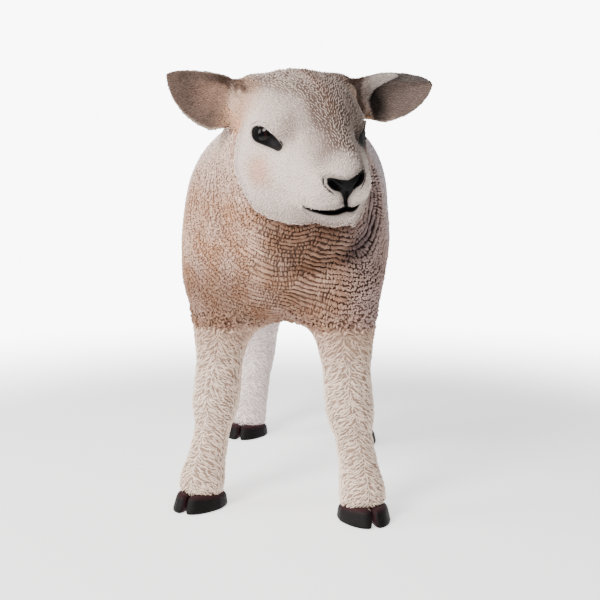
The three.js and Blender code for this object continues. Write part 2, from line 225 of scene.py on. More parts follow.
def chain(joints: Sequence[Triple], steps: int = 6) -> Field:
    """One smooth limb through joints given as x, y, z and radius."""
    knots = np.array(joints, float)
    count = (len(knots) - 1) * steps
    line, girth = spline(knots[:, :3], count), spline(knots[:, 3:], count)
    rings = np.hstack([line, girth])
    limbs = [limb(a, b) for a, b in zip(rings[:-1], rings[1:])]
    grow = REACH + knots[:, 3].max()
    return limited(
        lambda p: np.min([one(p) for one in limbs], axis=0), line.min(0) - grow, line.max(0) + grow
    )


def limited(inner: Field, low: Array, high: Array) -> Field:
    """A field that is worked out only inside a box, and is just far away outside it."""

    def at(p: Array) -> Array:
        distance = norm(np.maximum(np.maximum(low - p, p - high), 0), axis=1)
        near = distance == 0
        distance += REACH
        if near.any():
            distance[near] = inner(p[near])
        return distance

    return at


def smoothly(a: Array, b: Array, width: float) -> Array:
    """Joins two fields' values with a fillet about `width` wide."""
    h = np.maximum(width - np.abs(a - b), 0) / width
    return np.minimum(a, b) - h * h * width / 4


def trimmed(a: Array, b: Array, width: float) -> Array:
    """The values of what two forms have in common, with a round edge."""
    return -smoothly(-a, -b, width)


def joined(width: float, *fields: Field) -> Field:
    """Blends several fields into one."""

    def at(p: Array) -> Array:
        distance = fields[0](p)
        for one in fields[1:]:
            distance = smoothly(distance, one(p), width)
        return distance

    return at


def mirrored(p: Array) -> Array:
    """Points with those on the right put where their mirror images are, on the left."""
    return np.column_stack([np.abs(p[:, 0]), p[:, 1:]])


def pair(inner: Field) -> Field:
    """A form on the left and its mirror image on the right."""
    return lambda p: inner(mirrored(p))


def slope_of(inner: Field, p: Array, reach: float) -> tuple[Array, Array]:
    """A field's value and gradient, from four points about each point.

    Args:
        inner: the field.
        p: where.
        reach: how far away the four points are.

    Returns:
        The values and the gradients.
    """
    corners = np.array([[1, -1, -1], [-1, -1, 1], [-1, 1, -1], [1, 1, 1]], float)
    values = inner((p[None] + reach * corners[:, None]).reshape(-1, 3)).reshape(4, -1)
    return values.mean(0), (values.T @ corners) / (4 * reach)


def settled(inner: Field, p: Array, most: float, rounds: int = 3) -> Array:
    """Points moved onto a field's surface, by at most `most` in each round."""
    for _ in range(rounds):
        value, gradient = slope_of(inner, p, 0.4)
        steep = np.maximum((gradient**2).sum(1), 0.3)
        p = p - np.clip(value / steep, -most, most)[:, None] * gradient
    return p


# -------- meshing a field
BLOCK = 4  # cells along a block: blocks that the surface can't reach are passed over
SAFETY = 1.7  # how far a field may fall short of the true distance


def net(inner: Field, low: Triple, high: Triple, cell: float) -> tuple[Array, Array]:
    """Surface nets: one vertex in each cell that the surface crosses.

    Args:
        inner: the field to mesh.
        low: the lowest corner of the room to search.
        high: the highest corner.
        cell: the size of a cell.

    Returns:
        The vertices, and the quads between them, facing out.
    """
    start = np.array(low, float)
    blocks = np.ceil((np.array(high, float) - start) / (cell * BLOCK)).astype(int)
    coarse = np.indices(blocks + 1).reshape(3, -1).T
    rough = inner(start + coarse * cell * BLOCK).reshape(blocks + 1)
    values = rough
    for axis in range(3):
        values = np.repeat(values, BLOCK, axis)
    values = values[tuple(slice(0, n * BLOCK + 1) for n in blocks)].copy()

    shape = np.array(values.shape)
    closest = np.full(blocks, np.inf)
    corners = list(np.ndindex(2, 2, 2))
    for corner in corners:
        part = rough[tuple(slice(c, c + n) for c, n in zip(corner, blocks))]
        closest = np.minimum(closest, np.abs(part))
    inside = np.indices([BLOCK + 1] * 3).reshape(3, -1).T
    crossed = np.argwhere(closest < cell * BLOCK * SAFETY)
    wanted = np.zeros(shape, bool)
    grid = (crossed[:, None] * BLOCK + inside[None]).reshape(-1, 3)
    wanted[tuple(grid.T)] = True
    places = np.argwhere(wanted)
    values[wanted] = inner(start + places * cell)

    within = values < 0
    cut = tuple(shape - 1)
    count = np.zeros(cut, np.int8)
    for corner in corners:
        count += within[tuple(slice(c, c + n) for c, n in zip(corner, cut))]
    cells = np.argwhere((count > 0) & (count < 8))
    around = {c: values[tuple((cells + c).T)] for c in corners}
    total, crossings = np.zeros((len(cells), 3)), np.zeros(len(cells))
    for a in corners:
        for axis in range(3):
            if a[axis]:
                continue
            b = tuple(v + (n == axis) for n, v in enumerate(a))
            hit = (around[a] < 0) != (around[b] < 0)
            gap = np.where(hit, around[a] - around[b], 1)
            t = np.where(hit, around[a] / gap, 0)
            total += hit[:, None] * (np.array(a) + t[:, None] * (np.array(b) - np.array(a)))
            crossings += hit
    vertices = start + cell * (cells + total / crossings[:, None])

    number = np.full(cut, -1)
    number[tuple(cells.T)] = np.arange(len(cells))
    quads = []
    for axis in range(3):
        edges = np.argwhere(np.diff(within, axis=axis))
        one, two = np.eye(3, dtype=int)[[(axis + 1) % 3, (axis + 2) % 3]]
        ring = [edges - one - two, edges - two, edges, edges - one]
        quad = np.column_stack([number[tuple(c.T)] for c in ring])
        flip = ~within[tuple(edges.T)]
        quad[flip] = quad[flip][:, ::-1]
        quads.append(quad)
    return vertices, np.vstack(quads)


# -------- the lamb's own form
@dataclass(frozen=True)
class Ear:
    """A leaf from root to tip, cupped towards the way it opens."""

    root: Triple
    tip: Triple
    opens: Triple
    above: float
    below: float
    cup: float
    edge: float = 3.4
    middle: float = 8.0
    thick_root: float = 24.0

    def axes(self) -> tuple[Array, Array, Array, float]:
        """The ear's directions along, up and out of its face, and its length."""
        along = np.subtract(self.tip, self.root)
        length = float(norm(along))
        along = along / length
        face = np.array(self.opens, float)
        face = unit(face - (face @ along) * along)
        up = np.cross(along, face)
        return along, up * math.copysign(1, up[2]), face, length

    def coordinates(self, p: Array) -> tuple[Array, Array, Array]:
        """Where points lie on the ear.

        Args:
            p: the points.

        Returns:
            t from root to tip, v from the lower to the upper edge, and the height over the face.
        """
        along, up, face, length = self.axes()
        q = p - np.array(self.root, float)
        t, side, height = q @ along / length, q @ up, q @ face
        width = np.maximum(1 - np.clip(t, 0, 0.9999) ** 2.6, 0.001) ** 0.7
        narrow = 1 - 0.16 * np.maximum(0, 1 - t / 0.25)
        v = side / (np.where(side > 0, self.above, self.below) * width * np.maximum(narrow, 0.5))
        within = np.clip(v, -1, 1)
        depth = self.cup * width * (within**2 - 0.5) * (1 - 0.4 * np.clip(t, 0, 1))
        return t, v, height - depth + 0.1 * self.thickness(t, v)

    def thickness(self, t: Array, v: Array) -> Array:
        """How thick the ear is: most at its root and along its middle."""
        swell = np.maximum(0, 1 - np.maximum(t, -0.1) / 0.4) ** 2
        middle = self.middle - self.edge + (self.thick_root - self.middle) * swell
        return self.edge + middle * (1 - np.clip(v, -1, 1) ** 2)

    @staticmethod
    def fold(t: Array, v: Array) -> Array:
        """How far places on the ear lie past the fold that runs from its root to its upper edge."""
        return t - (0.1 + 0.38 * np.clip((v + 0.35) / 1.1, 0, 1) ** 1.2)

    def field(self) -> Field:
        """The ear's shape as a field, with a round edge."""
        length = self.axes()[3]
        rim = self.edge / 2

        def at(p: Array) -> Array:
            t, v, height = self.coordinates(p)
            side = np.abs(v)
            thick = self.thickness(t, v)
            half = np.where(v > 0, self.above, self.below)
            out = (side - 1) * half * np.maximum(1 - np.clip(t, 0, 0.99) ** 2.6, 0.02) ** 0.7
            past = (t - 1) * length
            beyond = (-0.2 - t) * length
            across = np.maximum(np.maximum(out, past), beyond)
            lean = 2 * self.cup * np.clip(side, 0, 1) / half
            over = (np.abs(height) - (thick / 2 - rim)) / np.sqrt(1 + lean**2)
            edge = across + rim
            corner = np.hypot(np.maximum(over, 0), np.maximum(edge, 0))
            return corner + np.minimum(np.maximum(over, edge), 0) - rim

        room = 70.0
        return limited(at, np.minimum(self.root, self.tip) - room, np.maximum(self.root, self.tip) + room)


@dataclass(frozen=True)
class Leg:
    """A leg: its path, its side, and where and how its foot stands."""

    REACH: ClassVar[float] = 85.0  # how far from the leg's middle its coat may lie
    path: tuple[Triple, ...]
    side: Side
    y: float
    out: float
    splay: float
    hem: float  # height where the fleece ends

    def joints(self) -> list[list[float]]:
        """The leg's joints where it stands, as x, y, z and radius."""
        top = self.path[0][2]
        return [[self.side * (x + self.out * (1 - z / top)), y + self.y, z, r] for x, y, z, r in self.path]

    def middle(self, p: Array) -> Array:
        """The leg's middle, as x and y, at the heights of some points."""
        joints = np.array(self.joints())[::-1]
        return np.column_stack([np.interp(p[:, 2], joints[:, 2], joints[:, n]) for n in (0, 1)])

    def near(self, p: Array) -> Array:
        """1 for points near the leg."""
        return (np.hypot(*(p[:, :2] - self.middle(p)).T) < self.REACH).astype(float)

    def foot(self) -> tuple[Array, Array]:
        """The middle of the foot on the floor, and the foot's turn."""
        x, y = self.joints()[-1][:2]
        return np.array([x + self.side * 4.0, y - 6.0, 0.0]), turning((0, 0, self.side * self.splay))

    def over_hoof(self, p: Array) -> Array:
        """Height over the plane of the hoof's top edge."""
        middle, turn = self.foot()
        return p[:, 2] - (CORONET - CORONET_RISE * ((p - middle) @ turn)[:, 1])


CORONET = 22.0  # height of a hoof's top edge at its middle
CORONET_RISE = math.tan(math.radians(6.0))  # how it climbs towards the toe
FRONT_LEG = (
    (80, 6, 330, 62),
    (90, 2, 262, 42),
    (94.5, -6, 205, 33.5),
    (99, -8, 158, 34.5),
    (106, -2, 112, 26.3),
    (113, -6, 72, 27.6),
    (119, -20, 38, 33),
)
HIND_LEG = (
    (78, -30, 320, 70),
    (80, -20, 250, 50),
    (83, 22, 190, 36),
    (86, 44, 150, 33),
    (89, 30, 104, 27.5),
    (93, 18, 66, 28),
    (98, 4, 38, 32),
)
LEGS = {
    "front_left": Leg(FRONT_LEG, Side.LEFT, -197, -3.5, 19, 268),
    "front_right": Leg(FRONT_LEG, Side.RIGHT, -154, 0, 22, 264),
    "hind_left": Leg(HIND_LEG, Side.LEFT, 208, 0, 12, 236),
    "hind_right": Leg(HIND_LEG, Side.RIGHT, 246, 2, 14, 236),
}
EARS = {
    Side.LEFT: Ear((111, -216, 595), (209, -175, 607), (0.3, -1, -0.05), 22, 46, 24),
    Side.RIGHT: Ear((-49, -304, 588), (-137, -310, 609), (-0.15, -1, -0.15), 18, 57, 12),
}
TAIL = ((0, 238, 500, 38), (0, 278, 462, 30), (0, 296, 400, 24), (0, 294, 352, 15))


@dataclass(frozen=True)
class Head:
    """The head in its own frame: the nose points along -Y, and the eyes are at y = 0."""

    eye_line: Triple = (44, -294, 536)
    turn: Triple = (22, -3, 29)
    eye_seat: Triple = (63.5, -9, 4)
    gaze: Triple = (0.93, -0.36, 0.03)
    ball_radius: float = 17.0
    ball_back: float = 5.6  # how far behind the eye's seat the middle of its ball lies

    def inward(self, p: Array) -> Array:
        """Points of the lamb's frame in the head's own frame."""
        return (p - np.array(self.eye_line, float)) @ turning(self.turn)

    def outward(self, p: Array) -> Array:
        """Points of the head's frame in the lamb's frame."""
        return np.asarray(p, float) @ turning(self.turn).T + np.array(self.eye_line, float)

    def eye(self, side: Side) -> Array:
        """The seat of an eye, in the lamb's frame."""
        x, y, z = self.eye_seat
        return self.outward(np.array([side * x, y, z]))

    def eyeball(self) -> Array:
        """The middle of the left eye's ball, in the head's frame."""
        return np.array(self.eye_seat) - self.ball_back * unit(np.array(self.gaze))

    def field(self) -> Field:
        """The head's flesh, without the ears."""
        skull = joined(
            20,
            mass((0, 36, 11), (76, 60, 56), power=2.3),  # cranium
            mass((0, -4, 24), (58, 46, 36), (22, 0, 0)),  # forehead
            pair(mass((54, 6, 5), (25, 26, 24))),  # orbit
            limb((0, -18, 20, 38), (0, -88, -8, 27)),  # bridge of the nose
            pair(mass((44, 22, -40), (42, 58, 46))),  # cheek and jaw angle
            pair(mass((32, -38, -26), (33, 58, 34), (10, 0, -10))),  # side of the face
            pair(mass((21, -87, -37), (25, 30, 24))),  # upper lip
            mass((0, -93, -22), (24, 20, 18)),  # end of the nose
            mass((0, -58, -64), (36, 54, 20), (8, 0, 0)),  # lower jaw
            mass((0, -88, -68), (25, 24, 16)),  # chin
            pair(mass((62, 50, 36), (24, 20, 25))),  # root of the ear
        )
        middle = np.array(self.eye_line, float)
        return limited(lambda p: skull(self.inward(p)), middle - 260, middle + 260)


HEAD = Head()


def body_field() -> Field:
    """The flesh of the whole lamb without its ears."""
    trunk = joined(
        60,
        mass((3, 22, 424), (151, 243, 160), power=2.5),
        mass((0, -168, 360), (106, 74, 78)),  # brisket
        pair(mass((80, -140, 385), (62, 84, 128), (8, 0, 0))),  # shoulder
        pair(mass((84, 200, 372), (60, 84, 118), (-8, 0, 0))),  # thigh
    )
    neck = joined(
        50,
        limb((0, -118, 440, 130), (16, -232, 524, 90)),
        limb((4, -178, 392, 98), (26, -246, 470, 76)),
    )
    legs = [chain(leg.joints()) for leg in LEGS.values()]
    return joined(26, trunk, neck, HEAD.field(), chain(TAIL), *legs)


# -------- where things are on the lamb
def sorted_tree(points: Array) -> KDTree:
    """Points, sorted so that the near ones are found."""
    tree = KDTree(len(points))
    for n, point in enumerate(points.tolist()):
        tree.insert(point, n)
    tree.balance()
    return tree


@dataclass(frozen=True)
class EyeOpening:
    """The lids' opening and the dark tear line that runs on from it, on the side of the head.

    A point there has a place `a` along the opening, forward from its middle, and `b` above it.
    """

    middle: Triple = (74.6, -17.9, 7.4)
    out: Triple = (0.94, -0.343, 0.0)
    ball: tuple[float, float, float] = (-5.4, -2.8, 10.4)  # place and radius at the ball
    tear: tuple[float, float, float] = (25.0, -10.6, 3.6)  # and at the tear line's end
    long: float = 1.17  # how much longer than high the shape is drawn
    ball_end: float = 11.0

    def place(self, q: Array) -> tuple[Array, Array, Array]:
        """The places of points of the head's frame by the nearer eye.

        Args:
            q: the points.

        Returns:
            a, b, and whether the point is on the side of the head by the eye.
        """
        away = mirrored(q) - np.array(self.middle)
        out = np.array(self.out)
        ahead = np.array([out[1], -out[0], 0])
        return away @ ahead, away[:, 2], (np.abs(away @ out) < 22) & (np.abs(away[:, 2]) < 60)

    def edge(self, a: Array, b: Array) -> Array:
        """About how far a place is from the opening's edge, negative inside."""
        (a0, b0, r0), (a1, b1, r1) = self.ball, self.tear
        shape = limb((a0 / self.long, 0, b0, r0), (a1 / self.long, 0, b1, r1))
        return shape(np.column_stack([a / self.long, np.zeros(len(a)), b]))


@dataclass(frozen=True)
class Muzzle:
    """The mouth's line, the dark Y of the nose and the nostrils, in the head's frame."""

    corner: float = -75.0
    line: Knots = (
        (0, 5, 11, 19, 28, 36, 42, 46),
        (-57.6, -58.6, -60.2, -61.4, -62.2, -63.2, -64.6, -65.6),
    )  # the mouth's height by the place across
    fork: Two = (0.0, -40.0)
    wing: Two = (21.5, -17.5)
    crown: float = -13.0
    askew: float = 0.15  # how far the nose leans to its right, for each millimetre of height

    def upright(self, q: Array) -> tuple[Array, Array]:
        """The place across and the height of points, as the nose leans."""
        x, z = q[:, 0], q[:, 2] + 15
        return x + self.askew * z, z - self.askew * x - 15

    def mouth(self, q: Array) -> tuple[Array, Array]:
        """Height over the mouth's line, and how much of the mouth there is at each point."""
        across = self.upright(q)[0]
        corner = self.corner + 30 * step(across, 0, 24)
        line = through(np.clip(np.abs(across), 0, 46), self.line) + 8.5 * step(across, 4, 40)
        return q[:, 2] - line, step(q[:, 1], corner, corner - 6)

    def wing_of(self, q: Array) -> tuple[Array, Array]:
        """Distance from the line of the nearer nostril's wing, and the place 0 to 1 along it."""
        start, end = np.array(self.fork), np.array(self.wing)
        x, z = self.upright(q)
        flat = np.column_stack([np.abs(x), z]) - start
        line = end - start
        t = np.clip(flat @ line / (line @ line), 0, 1)
        return norm(flat - t[:, None] * line, axis=1), t

    def dark(self, q: Array) -> Array:
        """How far points are outside the dark Y of the nose, negative inside."""
        away, t = self.wing_of(q)
        arm = away - (2.6 + 3.4 * bump(t, 0.86, 0.5))
        across, z = self.upright(q)
        across = np.abs(across)
        sag = self.crown - 4.5 * np.clip(1 - across / 16, 0, 1)
        wedge = np.maximum((across - 0.92 * (z - self.fork[1])) * 0.73, z - sag)
        stem = np.hypot(across, np.maximum(z - self.fork[1], np.minimum(z + 57, 0))) - 2.4
        shape = smoothly(smoothly(arm, wedge, 4), stem - 0.5, 7)
        return np.where(q[:, 1] < -92, shape, np.maximum(shape, q[:, 1] + 92))


@dataclass(frozen=True)
class FaceBorder:
    """The line where the face's short hair meets the fleece, in the head's frame."""

    back: float = 25.0  # how far behind the eyes it lies
    level: float = -5.0  # the height from which it comes forward, down the cheek
    sweep: float = 0.0042  # how fast it does
    poll: float = 44.0  # how much farther back it runs over the head
    throat: float = 40.0  # how much farther forward it runs under the jaw

    def past(self, q: Array) -> Array:
        """How far points are behind the line."""
        across, y, z = np.abs(q[:, 0]), q[:, 1], q[:, 2]
        edge = self.back - self.sweep * np.minimum(z - self.level, 0) ** 2 + self.poll * step(z, 2, 30)
        edge -= self.throat * np.clip(1 - across / 68, 0, 1) ** 0.75 * step(z, -66, -98)
        return y - edge


OPENING = EyeOpening()
MUZZLE = Muzzle()
FACE_BORDER = FaceBorder()


class Places:
    """Points on the skin, with all that the coat and the paint need to know about each."""

    def __init__(self, p: Array) -> None:
        """Works out every measure of points given in the lamb's frame."""
        self.p = p
        self.x, self.y, self.z = p.T
        self.q = q = HEAD.inward(p)  # in the head's frame
        self.ear = np.zeros(len(p))  # 1 on an ear
        self.by_ear = np.full(len(p), FAR)  # how far outside the nearer ear
        for ear in EARS.values():
            t, away = ear.coordinates(p)[0], ear.field()(p)
            self.ear = np.maximum(self.ear, step(away, 7, 3) * step(t, 0.0, 0.16))
            self.by_ear = np.minimum(self.by_ear, away)
        self.border = FACE_BORDER.past(q)  # how far behind the border of the face
        self.face = step(self.border, 1.5, -1.5) * (1 - self.ear)  # 1 on the face's short hair
        self.leg = self.below_hems()  # 1 on the hair of a leg, under the fleece's hem
        neck = step(self.y + 0.15 * (self.z - 400), -100, -175)
        self.front = neck * (1 - self.face)  # 1 on the neck and chest
        self.ring = norm(p - JAW, axis=1)  # from the middle of the jaw, for the neck's folds
        self.eye_a, self.eye_b, by_eye = OPENING.place(q)
        self.eye_edge = np.where(by_eye, OPENING.edge(self.eye_a, self.eye_b), FAR)
        self.mouth_over, self.mouth_share = MUZZLE.mouth(q)
        self.nose = np.where(q[:, 1] < -80, MUZZLE.dark(q), FAR)

    def below_hems(self) -> Array:
        """1 on a leg below its ragged hem of fleece."""
        p, share = self.p, np.zeros(len(self.p))
        ragged = 5 * WAVY(p * 2.2) + 4 * WAVY(p * 0.7)
        for leg in LEGS.values():
            x, y = leg.joints()[1][:2]
            near = step(np.hypot(p[:, 0] - x, p[:, 1] - y), 110, 90)
            share = np.maximum(share, near * step(p[:, 2] + ragged, leg.hem + 4, leg.hem - 4))
        return share

    @property
    def jaw_side(self) -> Array:
        """1 from the eyes down, where the border of the face is a raised line."""
        return step(self.q[:, 2], 12, -12)


FAR = 99.0  # stands for the distance to what is nowhere near
JAW = np.array([25.0, -225.0, 455.0])  # the folds of the neck are rings about this point
WAVY = Waves(60, 3)
FOLD_WAVE = Waves(70, 11)


class Rim:
    """The line round the face, from which the rows of the neck are counted."""

    tree: KDTree | None = None

    def trace(self, points: Array) -> None:
        """Takes the points of the line."""
        self.tree = sorted_tree(points)

    def away(self, p: Array) -> Array:
        """How far points are from the line."""
        return np.array([self.tree.find(point)[2] for point in p.tolist()])


RIM = Rim()


def neck_rows(at: Places) -> Array:
    """The place across the rows of nubs on the neck and chest, in rows counted from the face's rim."""
    return (RIM.away(at.p) + 3.5 * FOLD_WAVE(at.p)) / ROW


ROW = 6.8  # width of a row


# -------- what is carved
@dataclass(frozen=True)
class Carving:
    """What is modelled into the smooth flesh, as heights over it in millimetres."""

    under_hair: float = 0.7  # how far the skin lies under the tips of the short hair
    under_wool: float = 2.6  # how much deeper it lies under the fleece
    under_legs: float = 0.9
    under_ears: float = -0.2
    socket: float = -7.5
    tear_line: float = -1.7
    lids: Two = (0.8, 1.9)  # the lower lid, and how much more the upper one
    brow: float = 1.3
    lid_crease: float = -1.5
    tear_hollow: float = -3.5
    mouth_slit: float = -4.8
    lips: Two = (1.1, 0.8)  # the upper and the lower
    mouth_corner: float = -1.2
    nostril: float = -6.5
    nostril_rim: float = 1.5
    nose_groove: float = -1.0
    philtrum: float = -2.0
    jaw_ridge: float = 1.5
    jaw_groove: float = -0.7
    fold: Two = (1.2, 3.4)  # the neck's folds, and how much more at the deepest
    ear_flap: Two = (3.0, -1.5)  # the flap, and the groove beside it

    def depth(self, at: Places) -> Array:
        """How far the skin lies under the coat's tips."""
        wool = self.under_wool * (1 - at.face) * (1 - at.ear) * (1 - at.leg)
        return self.under_hair + wool + self.under_legs * at.leg + self.under_ears * at.ear

    def height(self, at: Places) -> Array:
        """Lids, nostrils, mouth, jaw ridge and the folds of the neck."""
        return self.eyes(at) + self.muzzle(at) + self.jaw(at) + self.folds(at) + self.flap(at)

    def flap(self, at: Places) -> Array:
        """The fold at the root of the left ear, which stands up over the ear's cup."""
        ear = EARS[Side.LEFT]
        t, v, height = ear.coordinates(at.p)
        past = ear.fold(t, v)
        front = at.ear * step(height, -0.6, 0.8) * (at.x > 60)
        raised, sunk = self.ear_flap
        fold = raised * step(past, 0.01, -0.03) * step(past, -0.3, -0.1) + sunk * bump(past, 0.06, 0.08)
        return front * fold * step(v, 1.0, 0.6)

    def eyes(self, at: Places) -> Array:
        """The seat of the eye, its lids, the crease over them and the tear line."""
        e, a, b = at.eye_edge, at.eye_a, at.eye_b
        ball = step(a, OPENING.ball_end + 5, OPENING.ball_end - 1)
        seat = self.socket * step(e, 0.2, -3.0) * ball
        line = self.tear_line * step(e, 0.6, -2.0) * (1 - ball)
        over = step(b, -6, 4)
        lower, more = self.lids
        lid = (more * over + lower) * bump(e, 1.3, 2.4) * step(a, 30, 8)
        brow = self.brow * bump(e, 7.5, 4.5) * over * step(a, 22, 2)
        crease = self.lid_crease * bump(e, 4.6, 1.7) * step(b, -5, 1) * step(a, 16, 6)
        sunk = HEAD.ball_radius + 0.9 - norm(mirrored(at.q) - HEAD.eyeball(), axis=1)
        cover = np.clip(sunk, 0, 7) * step(e, -0.6, 0.6)
        hollow = self.tear_hollow * bump(np.hypot((a - 30) / 22, (b + 1) / 15), 0, 1)
        return np.where(e < 20, np.maximum(seat + line + lid, cover) + brow + crease, 0) + hollow

    def muzzle(self, at: Places) -> Array:
        """The mouth's slit between its lips, the nostrils and the groove under the nose."""
        over, q = at.mouth_over, at.q
        slit = self.mouth_slit * step(np.abs(over), 2.6, 0.5)
        lips = self.lips[0] * bump(over, 5.2, 4.5) + self.lips[1] * bump(over, -5.4, 4.5)
        corner = self.mouth_corner * bump(q[:, 1], MUZZLE.corner - 1, 6) * step(np.abs(over), 6, 0)
        away, t = MUZZLE.wing_of(q)
        hole = self.nostril * step(away, 2.9, 0.9) * step(t, 0.36, 0.6)
        rim = self.nostril_rim * bump(away, 5.4, 2.8) * step(t, 0.45, 0.8)
        arm = self.nose_groove * step(away, 5.0, 1.0) * step(t, 0.7, 0.4)
        stem = np.abs(MUZZLE.upright(q)[0])
        philtrum = self.philtrum * step(stem, 2.4, 0.4) * step(q[:, 2], -30, -38) * step(q[:, 2], -60, -56)
        nose = step(q[:, 1], -94, -102) * (hole + rim + arm + philtrum)
        return (slit + lips) * at.mouth_share + corner + nose

    def jaw(self, at: Places) -> Array:
        """The thin raised line where the face's hair meets the fleece."""
        ridge = self.jaw_ridge * bump(at.border, 0.0, 1.9) + self.jaw_groove * bump(at.border, 4.0, 2.8)
        return ridge * at.jaw_side * (1 - at.ear)

    def folds(self, at: Places) -> Array:
        """Large soft folds about the neck, and the grooves between rows of curls."""
        ring = at.ring + 4 * FOLD_WAVE(at.p)
        neck = at.front * step(at.ring, 230, 170) * (1 - at.leg) * step(at.border, 2, 14) * (1 - at.ear)
        crease = MAIN_FOLD - ring
        shallow, more = self.fold
        soft = -np.cos(2 * math.pi * crease / FOLD_WIDTH) * (shallow + more * bump(crease, 0, 42))
        return neck * (soft * step(ring, 55, 80)) * (0.75 + 0.25 * groove_depth(at))


FOLD_WIDTH = 38.0  # from one fold of the neck to the next
MAIN_FOLD = 108.0  # how far from the jaw's middle the deepest fold of the neck runs


def groove_depth(at: Places) -> Array:
    """How deep the grooves of the neck are: deepest where it bends, on its left side."""
    bend = step(at.x, 20, 90)
    middle = 0.35 * step(at.x, -50, 10)
    return np.clip(0.05 + middle + 0.7 * bend - 0.3 * step(at.ring, 130, 200), 0, 1)


# -------- meshes
def lamb_shift() -> Array:
    """The step from the lamb's own frame to the row frame, in millimetres, read off the left eye."""
    low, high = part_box("eye_left")
    middle = np.array((low + high) / 2) / MM
    return middle - HEAD.eye(Side.LEFT)


SHIFT = lamb_shift()


def mesh_of(name: str, vertices: Array, faces: Array) -> Mesh:
    """A mesh from vertices in the lamb's frame and faces that all have the same count of corners."""
    mesh = bpy.data.meshes.new(name)
    count, corners = faces.shape
    mesh.vertices.add(len(vertices))
    mesh.loops.add(count * corners)
    mesh.polygons.add(count)
    mesh.loops.foreach_set("vertex_index", np.ascontiguousarray(faces, np.int32).ravel())
    mesh.polygons.foreach_set("loop_start", np.arange(0, count * corners, corners, dtype=np.int32))
    place(mesh, vertices)
    mesh.update(calc_edges=True)
    mesh.shade_smooth()
    return mesh


def place(mesh: Mesh, vertices: Array) -> None:
    """Sets a mesh's vertices from places in the lamb's frame."""
    mesh.vertices.foreach_set("co", ((vertices + SHIFT) * MM).astype(np.float32).ravel())
    mesh.update()


def vectors(source: bpy.types.bpy_prop_collection, name: str) -> Array:
    """A vector of each of a mesh's elements."""
    flat = np.empty(len(source) * 3, np.float32)
    source.foreach_get(name, flat)
    return flat.reshape(-1, 3).astype(float)


def positions(mesh: Mesh) -> Array:
    """A mesh's vertices in the lamb's frame."""
    return vectors(mesh.vertices, "co") / MM - SHIFT


def piece(name: str, mesh: Mesh, finish: Material) -> Object:
    """Puts a mesh in the scene as a piece that rides on the lamb, in its finish."""
    mesh.materials.append(finish)
    made = bpy.data.objects.new(name, mesh)
    bpy.context.scene.collection.objects.link(made)
    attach(made, BODY)
    return made


# -------- paint
def linear(red: float, green: float, blue: float) -> Array:
    """A display colour, 0 to 255 each, as scene-linear light."""
    c = np.array([red, green, blue], float) / 255
    return np.where(c <= 0.04045, c / 12.92, ((c + 0.055) / 1.055) ** 2.4)


def blend(a: Array, b: Array, share: Array) -> Array:
    """Colours `a` turned towards `b` by a share at each point."""
    return a + (b - a) * np.asarray(share)[..., None]


def layered(colour: Array, *coats: tuple[Array, Array]) -> Array:
    """A colour with others laid over it in turn, each by its share at each point."""
    for over, share in coats:
        colour = blend(colour, over, share)
    return colour


class Palette:
    """The painter's colours, as scene-linear light."""

    fleece = linear(236, 224, 222)
    tan = linear(172, 129, 102)
    cream = linear(250, 218, 190)
    umber = linear(82, 52, 38)
    dusk = linear(34, 22, 18)
    bark = linear(108, 82, 68)
    lilac = linear(168, 154, 158)
    hair = linear(244, 222, 204)
    biscuit = linear(140, 114, 98)
    face = linear(248, 230, 220)
    smoke = linear(104, 80, 68)
    shadow = linear(72, 52, 42)
    rose = linear(196, 146, 124)
    blush = linear(232, 176, 146)
    apricot = linear(222, 176, 144)
    orange = linear(214, 160, 118)
    ear = linear(132, 121, 117)
    ear_dark = linear(22, 16, 15)
    black = linear(5, 4, 4)
    hoof = linear(12, 9, 10)
    plum = linear(58, 34, 38)


HUE = Palette()


